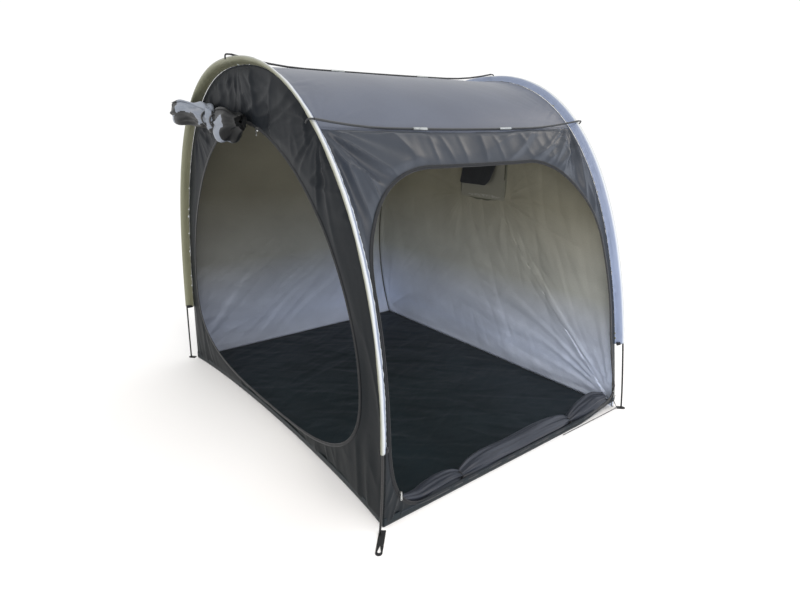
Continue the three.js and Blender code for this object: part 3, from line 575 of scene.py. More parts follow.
profile_ring, profile_corners = shell_outline(900)
door_ring = end_door(np.linspace(0, 2 * np.pi, 900, endpoint=False))
ya, za, edge_a, rim_a = spokes(np.array([0.02, 0.55]), door_ring, closed(profile_ring),
                               profile_corners, 760, 30)
settle = smooth(rim_a, 0, 0.05) * (0.12 + 0.88 * smooth(edge_a, 0.0, 0.06))
ripple_a = (0.007 * noise(ya / 0.35, za / 0.5, 31)
            + 0.012 * folds(ya, za, 1.5, 0.10, 0.6, 33) * smooth(za, 1.22, 1.42)
            + 0.012 * folds(ya, za, -0.22, 0.09, 0.5, 35) * smooth(za, 0.95, 1.15) * smooth(ya, 0.1, -0.2)
            + 0.008 * folds(ya, za, 1.35, 0.09, 0.6, 36) * smooth(za, 0.9, 0.3)
            + 0.024 * fan(ya, za, (-0.63, 1.40), 5, 0.35, 38)
            + 0.012 * fan(ya, za, (0.02, 1.64), 5, 0.30, 39)
            + 0.014 * fan(ya, za, (0.63, 1.38), 6, 0.35, 37)) * settle
xa = shell_x("a", za) + foot_draw(ya, za) - ripple_a
wall_a = cloth_mesh("end_wall_a_cloth", np.stack([xa, ya, za], -1), np.stack([ya, za], -1), wrap=True,
                    paint=[end_cloth, lining])
thicken(wall_a, CLOTH)
belongs(wall_a, "end_wall_a")

# ---- Front wall ----
# Slate, with the wide door cut out: a deep header under the shoulder seam, a narrow post against
# sleeve A, a wider one against sleeve B that flares at its foot, and a low sill. Its door edge is
# turned in behind it and stitched. The cut's area counts that hem and the seam allowances.
DOOR_F_TOP, DOOR_F_SILL = 1.250, 0.032


def arc_between(start, corner, stop, count=24):
    """A quadratic curve from start to stop that leaves and arrives towards the corner."""
    t = np.linspace(0, 1, count)[:, None]
    return (1 - t) ** 2 * np.array(start) + 2 * t * (1 - t) * np.array(corner) + t * t * np.array(stop)


def round_corner(start, corner, stop, pull=0.6, count=30):
    """A cubic curve whose handles reach a share of the way to the corner."""
    a, c, b = (np.array(p, float) for p in (start, corner, stop))
    h1, h2 = a + (c - a) * pull, b + (c - b) * pull
    t = np.linspace(0, 1, count)[:, None]
    return (1 - t) ** 3 * a + 3 * t * (1 - t) ** 2 * h1 + 3 * t * t * (1 - t) * h2 + t ** 3 * b


left = shell_x("a", DOOR_F_TOP / 2) + 0.014
right_high, right_low = shell_x("b", 0.82) - 0.038, shell_x("b", 0.42) - 0.038
foot_b = shell_x("b", 0.10) - 0.012
door_f = np.concatenate([
    arc_between((foot_b - 0.06, DOOR_F_SILL), (foot_b, DOOR_F_SILL), (foot_b, 0.10)),
    arc_between((foot_b, 0.10), (shell_x("b", 0.26) - 0.038, 0.26), (right_low, 0.42)),
    round_corner((right_high, 0.82), (right_high, DOOR_F_TOP), (right_high - 0.34, DOOR_F_TOP)),
    round_corner((left + 0.40, DOOR_F_TOP), (left, DOOR_F_TOP), (left, 0.86)),
    arc_between((left, DOOR_F_SILL + 0.318), (left, DOOR_F_SILL), (left + 0.18, DOOR_F_SILL)),
])


def resample(points, count):
    """A closed curve's points at even steps along it."""
    ring = closed(points)
    run = lengths_along(ring)
    at = np.linspace(0, run[-1], count, endpoint=False)
    return np.stack([np.interp(at, run, ring[:, k]) for k in (0, 1)], -1)


door_f = resample(door_f, 900)
seam_z = float(outline(SHOULDER - SEAM, INSET)[1])
side = np.linspace(BASE_Z, seam_z, 120)
top_x = np.linspace(shell_x("b", seam_z), shell_x("a", seam_z), 120)
foot_x = np.linspace(shell_x("a", BASE_Z), shell_x("b", BASE_Z), 120)
front_ring = np.concatenate([
    np.stack([shell_x("b", side), side], -1),
    np.stack([top_x, np.full(120, seam_z)], -1)[1:],
    np.stack([shell_x("a", side[::-1]), side[::-1]], -1)[1:],
    np.stack([foot_x, np.full(120, BASE_Z)], -1)[1:-1],
])
front_corners = [(shell_x(e, z), z) for e in "ab" for z in (BASE_Z, seam_z)]
xf, zf, edge_f, rim_f = spokes(np.array([-0.03, 0.65]), door_f, closed(front_ring), front_corners,
                               760, 30)


def corner_rise(x):
    """How far the foot of the wall stands off the ground towards its corner at arch B."""
    return 0.036 * smooth(x, 0.42, 0.72)


def front_surface(x, z, out=0.0):
    """The front wall's surface at x and z: the profile, drawn in at the waist, plus out."""
    s = (x - shell_x("a", z)) / (shell_x("b", z) - shell_x("a", z))
    waist = WAIST * 4 * np.clip(s * (1 - s), 0, 1) * smooth(z, 0.3, 0.9)
    high = np.clip(z, 0, seam_z)
    y = -half_width(high, INSET)
    lift = np.stack([-np.ones_like(y), 0.85 * smooth(high, 0.4, 1.4)], -1)
    lift /= np.linalg.norm(lift, axis=-1, keepdims=True)
    move = out - waist
    return np.stack([x, y + lift[..., 0] * move, z + lift[..., 1] * move], -1)


settle = smooth(rim_f, 0, 0.03) * (0.15 + 0.85 * smooth(edge_f, 0.0, 0.05))
header = smooth(zf, 1.15, 1.25)
ripple_f = (0.006 * noise(xf / 0.35, zf / 0.2, 41) * header
            + 0.020 * folds(xf, zf, 0.35, 0.09, 0.8, 43) * header * smooth(xf, -0.1, 0.3)
            + 0.026 * folds(xf, zf, -0.45, 0.10, 0.9, 44) * header * smooth(xf, 0.0, -0.4)
            + 0.007 * folds(xf, zf, 1.45, 0.12, 0.5, 46) * header
            + 0.040 * fan(xf, zf, (0.66, 1.40), 6, 0.40, 47)
            + 0.050 * fan(xf, zf, (-0.72, 1.40), 6, 0.45, 48)
            + 0.008 * folds(xf, zf, 1.3, 0.06, 0.25, 49) * smooth(xf, 0.45, 0.55)
            + 0.010 * folds(xf, zf, 1.25, 0.06, 0.25, 50) * smooth(zf, 0.45, 0.2)) * settle
lift_b = corner_rise(xf) * smooth(zf, 0.5, 0.0)
front_points = front_surface(xf, zf + lift_b, ripple_f)
turned = front_points[1:6][::-1] + np.array([0, 0.0022, 0])
front_points = np.concatenate([turned, front_points])
xf, zf = (np.concatenate([v[1:6][::-1], v]) for v in (xf, zf))
front_wall = cloth_mesh("front_wall_cloth", front_points[:, ::-1], np.stack([xf, zf], -1)[:, ::-1],
                        wrap=True, paint=[slate_cloth, lining])
thicken(front_wall, CLOTH)
belongs(front_wall, "front_wall")

# ---- End wall B ----
# It has the vent, high up, and shows mostly its silver inside. Creases run out of the vent's
# corners, because its frame is stiffer than the cloth around it.
VENT_LOW, VENT_HIGH, VENT_SILL, VENT_TOP = -0.235, 0.090, 1.000, 1.215
vent_turn = np.linspace(0, 2 * np.pi, 400, endpoint=False)
vent_ring = np.stack([
    (VENT_LOW + VENT_HIGH) / 2 + (VENT_HIGH - VENT_LOW) / 2 * signed_power(np.cos(vent_turn), 0.22),
    (VENT_SILL + VENT_TOP) / 2 + (VENT_TOP - VENT_SILL) / 2 * signed_power(np.sin(vent_turn), 0.22)], -1)
yb, zb, edge_b, rim_b = spokes(np.array([-0.07, 1.11]), vent_ring, closed(profile_ring),
                               profile_corners, 420, 70)
pulls = sum(fan(yb, zb, corner, 10, 0.22, 60 + k) for k, corner in enumerate(
    ((VENT_LOW, VENT_SILL), (VENT_HIGH, VENT_SILL), (VENT_LOW, VENT_TOP), (VENT_HIGH, VENT_TOP))))
settle = smooth(rim_b, 0, 0.06) * smooth(edge_b, -0.02, 0.06)
ripple_b = (0.014 * noise(yb / 0.8, zb / 0.6, 51)
            + 0.004 * folds(yb, zb, 0.2, 0.13, 0.9, 52)
            + 0.006 * folds(yb, zb, -0.75, 0.10, 0.7, 54) * smooth(zb, 0.9, 0.3)
            + 0.004 * folds(yb, zb, 1.35, 0.11, 0.7, 55)
            + 0.004 * pulls
            + 0.024 * fan(yb, zb, (-0.97, 0.05), 16, 0.38, 57)
            + 0.012 * fan(yb, zb, (0.97, 0.05), 14, 0.35, 58)) * settle
xb = shell_x("b", zb) + ripple_b
wall_b = cloth_mesh("end_wall_b_cloth", np.stack([xb, yb, zb], -1)[:, ::-1],
                    np.stack([yb, zb], -1)[:, ::-1], wrap=True, paint=[slate_cloth, lining])
thicken(wall_b, CLOTH)
belongs(wall_b, "end_wall_b")

# ---- Floor ----
# A near-black groundsheet sewn to all four walls. It lies on the ground with low buckles, and its
# edge at end A follows the drawn-in foot of that wall.
cols, rows = 150, 180
t = np.linspace(-1, 1, rows)[:, None] * np.ones(cols)
s = np.linspace(0, 1, cols)[None, :] * np.ones((rows, 1))
floor_y = t * half_width(0.0, INSET)
low_x = shell_x("a", 0.0) + foot_draw(floor_y, 0.0)
high_x = shell_x("b", 0.0) + 0 * t
floor_x = low_x * (1 - s) + high_x * s
inside = smooth(np.minimum(s, 1 - s), 0, 0.05) * smooth(1 - np.abs(t), 0, 0.05)
buckle = (0.004 * folds(floor_x, floor_y, 0.5, 0.09, 0.3, 71)
          + 0.004 * folds(floor_x, floor_y, -0.8, 0.07, 0.25, 73)
          + 0.005 * np.clip(noise(floor_x / 0.2, floor_y / 0.2, 75), 0, 1)) * inside
corner_lift = 0.034 * smooth(floor_x, 0.42, 0.72) * smooth(floor_y, -0.78, -0.98)
floor_z = 0.0022 + buckle + corner_lift
floor_cloth_piece = cloth_mesh("floor_cloth", np.stack([floor_x, floor_y, floor_z], -1)[::-1],
                               np.stack([floor_x, floor_y], -1)[::-1], paint=[floor_cloth])
thicken(floor_cloth_piece, 0.0008, lining=False)
belongs(floor_cloth_piece, "floor")

# ---- Sleeves ----
# Silver-coated polyester, folded round the pole and sewn flat along the shell's edge seam. Each
# stands out from the seam to the pole, and ends in a black hem above the foot.
SLEEVE_HEM = {"a": 0.328, "b": 0.376}
silver, silver_tree, silver_shader = material("silver-coated polyester, sleeve", Roughness=0.46,
                                              Metallic=0.1, Sheen_Weight=0.05)
silver_where = node(silver_tree, "ShaderNodeUVMap", uv_map="cloth").outputs[0]
silver_split = node(silver_tree, "ShaderNodeSeparateXYZ", {"Vector": silver_where})
# The colours across the sleeve are painted light: pale bands at the edges are painted highlights, the
# bluish channel a painted reflection of the sky, and the olive of the under side painted shade.
silver_painted_light = node(silver_tree, "ShaderNodeValToRGB", {"Fac": silver_split.outputs["Y"]})
silver_painted_light.color_ramp.elements[0].color = linear("#b4babf")
silver_painted_light.color_ramp.elements[1].color = linear("#61614a")
for stop, colour in ((0.06, "#bfc5ca"), (0.11, "#75819a"), (0.34, "#7d889f"), (0.42, "#c0c5c9"),
                     (0.47, "#b0b4b4"), (0.53, "#84856f"), (0.80, "#6a6a52")):
    silver_painted_light.color_ramp.elements.new(stop).color = linear(colour)
silver_cloud = node(silver_tree, "ShaderNodeTexNoise",
                    {"Vector": silver_where, "Scale": 14.0, "Detail": 5.0})
silver_bump = node(silver_tree, "ShaderNodeBump", {"Height": silver_cloud.outputs[0], "Strength": 0.5,
                   "Distance": 0.004})
silver_tree.links.new(silver_painted_light.outputs[0], silver_shader.inputs["Base Color"])
silver_tree.links.new(silver_bump.outputs[0], silver_shader.inputs["Normal"])

WEB = math.hypot(SETBACK, INSET)


def sleeve(end):
    """A flat fold of cloth carried round the arch. Its section runs out from the seam to the pole,
    opens round it, and comes back; the opening breathes and puckers along the way."""
    path = arch_path(end, SLEEVE_HEM[end], 620)
    inward = 1 if end == "a" else -1
    run = lengths_along(path)
    part = np.linspace(0, 2, 37)
    there = np.where(part < 1, part, 2 - part)[None, :]
    sign = np.where(part < 1, 1, -1)[None, :]
    r, w = np.meshgrid(run, part, indexing="ij")
    reach = WEB - 0.0005 - (WEB + 0.0075) * there
    swell = 0.0010 + 0.0065 * np.sin(np.pi * np.clip((there - 0.12) / 0.88, 0, 1) ** 1.6) ** 0.7
    breathe = 1 + 0.35 * noise(r / 0.16, w * 0.7, 81) + 0.12 * noise(r / 0.03, w, 83)
    half = swell * breathe * sign
    pucker = 0.0022 * noise(r / 0.022, w * 0.4, 85) * (1 - smooth(there, 0.0, 0.35))
    web_u, web_v = SETBACK / WEB * inward, INSET / WEB
    a = reach * web_u - (half + pucker) * web_v * inward
    b = reach * web_v + (half + pucker) * web_u * inward
    section = np.stack([a, b], -1)
    if end == "b":
        section = section[:, ::-1]
    first, second = frames_along(path, (1, 0, 0))
    points = path[:, None] + section[..., :1] * first[:, None] + section[..., 1:] * second[:, None]
    # The under side of each sleeve takes the band's olive painted shade, the upper side its painted
    # highlights and sky reflection.
    shaded_side = sign > 0 if end == "a" else sign < 0
    seam_edge = 0.12 if end == "b" else 0.0
    across_it = np.where(shaded_side, 1 - there / 2, np.maximum(there / 2, seam_edge))
    uv = np.stack([r, across_it * np.ones_like(r)], -1)
    made = cloth_mesh(f"sleeve_{end}_cloth", points, uv, paint=[silver])
    thicken(made, 0.0007, lining=False)
    belongs(made, f"sleeve_{end}")


for end in "ab":
    sleeve(end)

# ---- Sleeve hems ----
# Each sleeve ends in a black tape, folded over the silver cloth's raw edge and stitched.
black_tape = woven("black polyester tape", "#1c1e21", 0.62, 0.15, 0.25, 0.08)
HEM_OVERLAP = 0.007
HEM_WIDE, HEM_THICK = 0.0195, 0.0090
for end in "ab":
    low_path = arch_path(end, SLEEVE_HEM[end] - HEM_OVERLAP, 2400)
    for foot_name, part in (("front", low_path[:10]), ("rear", low_path[-10:])):
        toward = (1 if end == "a" else -1) * (SETBACK / 2 - 0.003)
        middle = part + np.array([toward, INSET / 2 * (1 if foot_name == "front" else -1), 0])
        hem = sweep(f"sleeve_{end}_hem_{foot_name}", middle,
                    round_section(1.0, 20) * np.array([HEM_WIDE, HEM_THICK]), (1, 0, 0), [black_tape])
        belongs(hem)

# ---- Groundsheet edge ----
# The groundsheet turns up 35 mm round the foot of the walls, where it is bound with black tape.
UPSTAND = 0.035

foot_y = np.linspace(-half_width(0.002, INSET), half_width(0.002, INSET), 240)
rise = np.linspace(0, 1, 5)
foot_rows = []
for r in rise:
    z = 0.0015 + UPSTAND * r
    foot_rows.append(np.stack([shell_x("a", z) + foot_draw(foot_y, z) - 0.0022,
                               foot_y * half_width(z, INSET) / half_width(0.002, INSET),
                               np.full(len(foot_y), z)], -1))
edge_a_grid = np.array(foot_rows)[:, ::-1]
edge_piece = cloth_mesh("groundsheet_edge_a", edge_a_grid, edge_a_grid[..., 1:], paint=[floor_cloth])
thicken(edge_piece, 0.001, lining=False)
belongs(edge_piece)
front_x = np.linspace(shell_x("a", 0.0), shell_x("b", 0.0), 220)
for sign, place_name in ((-1, "front"), (1, "rear")):
    grid = []
    for r in rise:
        z = 0.0015 + UPSTAND * r
        lift = corner_rise(front_x) if sign < 0 else 0
        grid.append(np.stack([front_x, np.full(len(front_x), sign * (half_width(z, INSET) + 0.0022)),
                              z + lift * np.ones(len(front_x))], -1))
    grid = np.array(grid)
    grid = grid if sign < 0 else grid[:, ::-1]
    piece = cloth_mesh(f"groundsheet_edge_{place_name}", grid, grid[..., ::2], paint=[floor_cloth])
    thicken(piece, 0.001, lining=False)
    belongs(piece)

# Where the front corner at arch B is lifted, its binding carries on along the ground to the strap.
binding = np.stack([np.linspace(0.30, 0.727, 30), np.full(30, -0.993) - 0.004 * np.linspace(0, 1, 30),
                    np.full(30, 0.0022)], -1)
corner_binding = sweep("front_corner_binding", binding, round_section(0.0016, 10), (0, 0, 1),
                       [black_tape])
belongs(corner_binding)
lift_strap = np.array([(0.722, -0.985, 0.038), (0.727, -0.990, 0.020), (0.736, -0.997, 0.0032),
                       (0.744, -1.003, 0.0030)])
lift_rows = np.array([lift_strap + np.array([0.6, 0.8, 0]) * d for d in (-0.008, 0.0, 0.008)])
lift_piece = cloth_mesh("front_corner_tab", lift_rows[:, ::-1], lift_rows[:, ::-1, 1:],
                        paint=[black_tape])
thicken(lift_piece, 0.0012, lining=False)
belongs(lift_piece)

# ---- Door zips ----
# A nylon coil on black tape runs round each doorway, from the slider up and over to the other
# foot. The coil is on the edge, and the tape is stitched to the wall behind it.
coil, coil_tree, coil_shader = material("black nylon zip coil", Roughness=0.4,
                                        Base_Color=linear("#15171a"))
coil_where = node(coil_tree, "ShaderNodeUVMap", uv_map="cloth").outputs[0]
coil_wave = node(coil_tree, "ShaderNodeTexWave", {"Vector": coil_where, "Scale": 1 / 0.0015 / 6.28},
                 bands_direction="X")
coil_bump = node(coil_tree, "ShaderNodeBump", {"Height": coil_wave.outputs["Fac"], "Strength": 0.6,
                 "Distance": 0.0006})
coil_tree.links.new(coil_bump.outputs[0], coil_shader.inputs["Normal"])


def zip_round(name, edge, normal):
    """Tape and coil along a doorway's edge, on the outside of the wall."""
    ahead = np.roll(edge, -3, 0) - np.roll(edge, 3, 0)
    ahead /= np.linalg.norm(ahead, axis=1, keepdims=True)
    into = np.cross(ahead, normal)
    tape = np.array([edge + into * d + np.array(normal) * 0.0012 for d in (0.002, -0.005, -0.013)])
    uv = np.stack(np.meshgrid(lengths_along(edge), [0, 0.007, 0.015]), -1)
    piece = cloth_mesh(name + "_tape", tape, uv, wrap=True, paint=[black_tape])
    thicken(piece, 0.0008, lining=False)
    belongs(piece)
    ring = np.concatenate([edge, edge[:1]]) + np.array(normal) * 0.0010
    teeth = sweep(name + "_coil", ring, round_section(0.0018, 8), (0.3, 0.2, 1), [coil], cap=False)
    belongs(teeth)


edge_ring_a = np.stack([xa[0], ya[0], za[0]], -1)
zip_round("door_a_zip", edge_ring_a, (-1, 0, 0))
edge_ring_f = front_points[5]
zip_round("front_door_zip", edge_ring_f[::-1], (0, -1, 0))

# ---- Seams ----
# The roof is lapped over the front and back walls at the shoulders, and felled flat with two rows
# of stitching.


def grained(name, colour, roughness, scale, bump_distance):
    """One plain colour with a fine grain: too small to see as threads, but it takes off the gloss."""
    made, tree, shader = material(name, Roughness=roughness, Base_Color=linear(colour))
    where = node(tree, "ShaderNodeTexCoord").outputs["Object"]
    grain = node(tree, "ShaderNodeTexNoise", {"Vector": where, "Scale": scale})
    rise = node(tree, "ShaderNodeBump", {"Height": grain.outputs[0], "Strength": 0.3,
                "Distance": bump_distance})
    tree.links.new(rise.outputs[0], shader.inputs["Normal"])
    return made


thread = grained("grey polyester thread", "#777c84", 0.6, 800.0, 0.0004)
STITCH = np.array([(0, 0, 0), (0, 0.0009, 0.0002), (0, 0, 0.0004), (0, -0.0009, 0.0002)])
for angle, seam_name in ((SHOULDER, "front"), (math.pi - SHOULDER, "rear")):
    offsets = np.array([-0.006, -0.004, 0.0, 0.004, 0.006]) / 1.2
    seam_s = np.linspace(0.001, 0.999, 200)
    grid = []
    for k, d in enumerate(offsets):
        y, z = outline(angle + d, INSET - (0.0006 if 0 < k < 4 else 0.0002))
        x = shell_x("a", z) * (1 - seam_s) + shell_x("b", z) * seam_s
        waist = WAIST * 4 * seam_s * (1 - seam_s)
        out = np.array([y, z - WIDEST]) / math.hypot(y, z - WIDEST)
        grid.append(np.stack([x, y - out[0] * waist, z - out[1] * waist], -1))
    grid = np.array(grid)
    seam = cloth_mesh(f"shoulder_seam_{seam_name}", grid, grid[..., :2], paint=[roof_cloth])
    thicken(seam, 0.0006, lining=False)
    belongs(seam)
    starts = np.concatenate([grid[row][:-1] for row in (1, 3)])
    ends = np.concatenate([grid[row][:-1] * 0.3 + grid[row][1:] * 0.7 for row in (1, 3)])
    stitch = np.stack([starts[:, None] + STITCH, ends[:, None] + STITCH], 1).reshape(-1, 3)
    faces = np.array([(0, 1, 5, 4), (1, 2, 6, 5), (2, 3, 7, 6), (3, 0, 4, 7), (0, 3, 2, 1), (4, 5, 6, 7)])
    index = np.concatenate([faces + 8 * i for i in range(len(starts))])
    mesh = bpy.data.meshes.new(f"shoulder_stitches_{seam_name}")
    mesh.from_pydata(stitch, [], index)
    mesh.materials.append(thread)
    stitches = bpy.data.objects.new(f"shoulder_stitches_{seam_name}", mesh)
    bpy.context.scene.collection.objects.link(stitches)
    belongs(stitches)

# Inside, the raw edges are bound with a narrow olive tape, which shows as a dark line along each
# join between the barrel and the two ends.
binding_tape = woven("olive binding tape", "#55564a", 0.6, 0.0, 0.2, 0.08)
for end, inward in (("a", 1), ("b", -1)):
    turn = np.linspace(rear_base, math.pi - rear_base, 500)
    y, z = outline(turn, INSET + 0.006)
    line = np.stack([shell_x(end, z) + inward * 0.006, y, z], -1)
    bound = sweep(f"inner_binding_{end}", line, round_section(1, 12) * np.array([0.0022, 0.0020]),
                  (1, 0, 0), [binding_tape])
    belongs(bound)

# ---- Rolled doors ----
# Each door is one piece of cloth, rolled up on itself and held by ties. The front door lies rolled
# along the sill, slate side out. The end door is bundled up under the shoulder, lining out.


def rolled(name, path, side, cut, inner, radius, shape, crush, paint, start, tail=None,
           face_paint=None):
    """A sheet rolled into a spiral round a path. cut is the length rolled up, from the angle start
    outwards; radius and shape give the roll's size and its height over its depth at each place;
    crush moves the cloth in and out by place and direction; tail adds rows of points from the
    outer edge to a seam. The hidden turns are coarse, and the last one is fine."""
    first, second = frames_along(path, side)
    size = radius(np.linspace(0, 1, len(path)))
    mean = size.mean()
    turns = cut / (math.pi * (mean + inner))
    hidden = turns - 1.3
    wind = 2 * np.pi * np.concatenate([np.linspace(0, hidden, int(hidden * 14), endpoint=False),
                                       np.linspace(hidden, turns, 80)])
    grow = inner + (mean - inner) * wind / wind[-1]
    place_along, angle = np.meshgrid(np.linspace(0, 1, len(path)), wind, indexing="ij")
    far = grow[None, :] / mean * size[:, None]
    cos, sin = np.cos(angle + start), np.sin(angle + start)
    far = far * (1 + crush(place_along, cos, sin) * (grow / mean)[None, :])
    tall = shape(np.linspace(0, 1, len(path)))[:, None]
    points = (path[:, None] + (far * cos)[..., None] * first[:, None]
              + (far * sin * tall)[..., None] * second[:, None])
    if tail is not None:
        extra = tail(points[:, -1])
        points = np.concatenate([points, extra], axis=1)
    run = lengths_along(path)
    steps = lengths_along(points[len(path) // 2])
    uv = np.stack(np.meshgrid(run, steps, indexing="ij"), -1)
    shown = face_paint(*np.meshgrid(np.linspace(0, 1, len(path) - 1), wind[1:] / 2 / np.pi,
                                    indexing="ij")) if face_paint else None
    made = cloth_mesh(name, points, uv, paint=paint, face_paint=shown)
    thicken(made, 0.0009, lining=face_paint is None)
    return made


roll_cloth = woven("coated polyester taffeta, slate, rolled", "#31353d", 0.36, 0.03, 0.16)
TIES_F = (0.255, 0.80)
ROLL_F = (-0.652, 0.650)
along = np.linspace(0, 1, 230)
roll_x = ROLL_F[0] + (ROLL_F[1] - ROLL_F[0]) * along


def roll_f_radius(t):
    """40 mm in each lobe, cinched at the two ties, and drawn out thin at both ends."""
    tied = sum(np.exp(-np.abs((t - tie) / 0.042) ** 1.3) for tie in TIES_F)
    ends = 1 - 0.72 * smooth(t, 0.16, 0.0) - 0.45 * smooth(t, 0.93, 1.0)
    return 0.041 * (1 - 0.56 * np.clip(tied, 0, 1)) * ends * (1 + 0.03 * np.sin(t * 23))


def roll_f_shape(t):
    """The height over the depth: the left lobe has slumped flat, the right one stands up."""
    return 1 - 0.22 * smooth(t, 0.28, 0.1) + 0.12 * smooth(t, 0.8, 0.95)


def gathers(cos, sin, t, seed, counts=(5, 8, 13)):
    """Pleats round a roll: a few cosines of the angle, whose phases drift along it."""
    angle = np.arctan2(sin, cos)
    drift = np.random.default_rng(seed).uniform(0, 6.28, (len(counts), 2))
    return sum(np.cos(n * angle + d[0] + 1.5 * np.sin(t * 9 + d[1])) / (i + 1.4)
               for i, (n, d) in enumerate(zip(counts, drift)))


def roll_f_crush(t, cos, sin):
    """Pleats that run out from each tie and from both ends, and a long open fold on the left."""
    near = sum(np.exp(-np.abs(t - tie) / 0.075) for tie in TIES_F)
    near = np.clip(near + 0.8 * np.exp(-t / 0.08) + 0.8 * np.exp(-(1 - t) / 0.10), 0, 1.0)
    slack = 0.05 * noise(cos * 1.5 + 9, sin * 1.5 + t * 9, 93)
    gape = -0.45 * np.exp(-((t - 0.17) / 0.08) ** 2) * np.exp(-((sin - 0.05) / 0.22) ** 2) * (cos > 0)
    return (0.30 * near + 0.04) * gathers(cos, sin, t, 91, (5, 9, 15)) + slack + gape


roll_size = roll_f_radius(along)
rise_b = 0.045 * smooth(roll_x, 0.50, 0.66)
roll_path = np.stack([roll_x, -0.944 - 0.012 * smooth(along, 0.1, 0) - 0.02 * smooth(along, 0.9, 1),
                      0.006 + roll_size * roll_f_shape(along) * 1.02 + rise_b
                      + 0.05 * smooth(along, 0.10, 0.0)], -1)


def roll_tail(edge):
    """The cloth between the roll and the sill that it is sewn to."""
    sill_z = 0.030 + corner_rise(roll_x)
    sill = np.stack([roll_x, np.full(len(roll_x), -0.9885), sill_z], -1)
    part = np.linspace(0, 1, 9)[1:][None, :, None]
    sag = np.array([0, 0.004, -0.012]) * (np.sin(np.pi * part))
    return edge[:, None] * (1 - part) + sill[:, None] * part + sag


front_roll = rolled("front_door_rolled", roll_path, (0, -1, 0), 1.16, 0.010, roll_f_radius, roll_f_shape,
                    roll_f_crush, [roll_cloth, lining], start=1.3, tail=roll_tail)
belongs(front_roll, "front_door_roll")

ROLL_A = (0.590, -0.085)
TIES_A = (0.49, 0.64)
along = np.linspace(0, 1, 150)
roll_y = ROLL_A[0] + (ROLL_A[1] - ROLL_A[0]) * along


def roll_a_radius(t):
    """Fat at both ends and narrow between the two ties."""
    tied = sum(np.exp(-((t - tie) / 0.05) ** 2) for tie in TIES_A)
    ends = 1 - 0.15 * smooth(t, 0.15, 0) - 0.45 * smooth(t, 0.85, 1.0)
    return 0.049 * (1 - 0.38 * np.clip(tied, 0, 1)) * ends


def roll_a_crush(t, cos, sin):
    """Large crumples, sharper beside the ties, with a pointed lobe below the second tie."""
    near = sum(np.exp(-np.abs(t - tie) / 0.08) for tie in TIES_A)
    crumple = 0.24 * noise(cos * 1.3 + 3, sin * 1.3 + t * 5, 101)
    lobe = 0.60 * np.exp(-((t - 0.80) / 0.10) ** 2) * np.exp(-((sin - 0.80) / 0.45) ** 2)
    return crumple + (0.14 + 0.12 * near) * gathers(cos, sin, t, 103, (3, 6, 11)) + lobe


def roll_a_paint(t, turns):
    """The outer turns show slate, with the lining turned out over the top and the right lobe."""
    turn = turns % 1
    wander = 0.07 * noise(t * 5, turn * 2, 107)
    shown = (turn + wander) % 1
    top = (shown > 0.60) & (shown < 0.93) & (t > 0.09) & (t < 0.54)
    strip = ((shown > 0.80 - (t - 0.42)) | (shown < 0.06)) & (t > 0.40) & (t < 0.62)
    lobe = ((shown < 0.44) | (shown > 0.86)) & (t > 0.66) & (t + wander < 0.87)
    end = (t < 0.05) & (shown < 0.5)
    return np.where(top | strip | lobe | end, 1, 0)


roll_a_path = np.stack([-0.776 - 0.034 * smooth(roll_y, 0.38, 0.56), roll_y,
                        1.436 - 0.040 * along + 0.010 * np.sin(along * 7.0)], -1)
# The roll's dark slate cloth is painted near black, darker than the same cloth on the wall: painted shade
# in its folds.
roll_painted_shade_slate = woven("coated polyester taffeta, black in the folds", "#0d0f11", 0.42, 0.02, 0.2)
end_cloth_blue = woven("silver polyurethane coat, new and creased", "#858c98", 0.36, 0.0, 0.3, 0.12, 0.2)
end_roll = rolled("end_door_rolled", roll_a_path, (-1, 0, 0), 2.05, 0.012, roll_a_radius,
                  lambda t: 1.06 + 0 * t, roll_a_crush, [roll_painted_shade_slate, end_cloth_blue], start=0.4,
                  face_paint=roll_a_paint)
belongs(end_roll, "door_a_roll")

# ---- Roll ties ----
# Loops of black tape, sewn to the wall, that go round each roll and close with a toggle.


def tie_loop(name, centre, first, second, radii, width, stands_for=None):
    """A flat loop of tape round a roll: first and second span the loop's plane."""
    turn = np.linspace(0, 2 * np.pi, 60, endpoint=False)
    first, second = np.array(first, float), np.array(second, float)
    axis = np.cross(first, second)
    far = 1 + 0.05 * np.sin(turn * 3 + 0.7)
    ring = (np.array(centre) + (radii[0] * far * np.cos(turn))[:, None] * first
            + (radii[1] * far * np.sin(turn))[:, None] * second)
    slew = 0.004 * np.sin(turn)[:, None] * axis
    rows = np.array([ring + slew + axis * d for d in np.linspace(-width / 2, width / 2, 4)])
    uv = np.stack(np.meshgrid(turn * radii[0], np.linspace(0, width, 4)), -1)
    piece = cloth_mesh(name, rows, uv, wrap=True, paint=[black_tape])
    thicken(piece, 0.0014, lining=False)
    belongs(piece, stands_for)


for i, tie in enumerate(TIES_F):
    at = int(round(tie * (len(roll_path) - 1)))
    size = roll_size[at] * 1.16
    tie_loop(f"front_tie_{i + 1}", roll_path[at], (0, -1, 0), (0, 0, 1),
             (size, size * roll_f_shape(tie)), 0.014, f"front_door_tie_{i + 1}")
for i, tie in enumerate(TIES_A):
    at = int(round(tie * (len(roll_a_path) - 1)))
    size = float(roll_a_radius(tie)) * 1.22
    tie_loop(f"end_tie_{i + 1}", roll_a_path[at], (-1, 0, 0), (0, 0, 1), (size, size * 1.1), 0.020,
             "door_a_tie" if i == 0 else None)

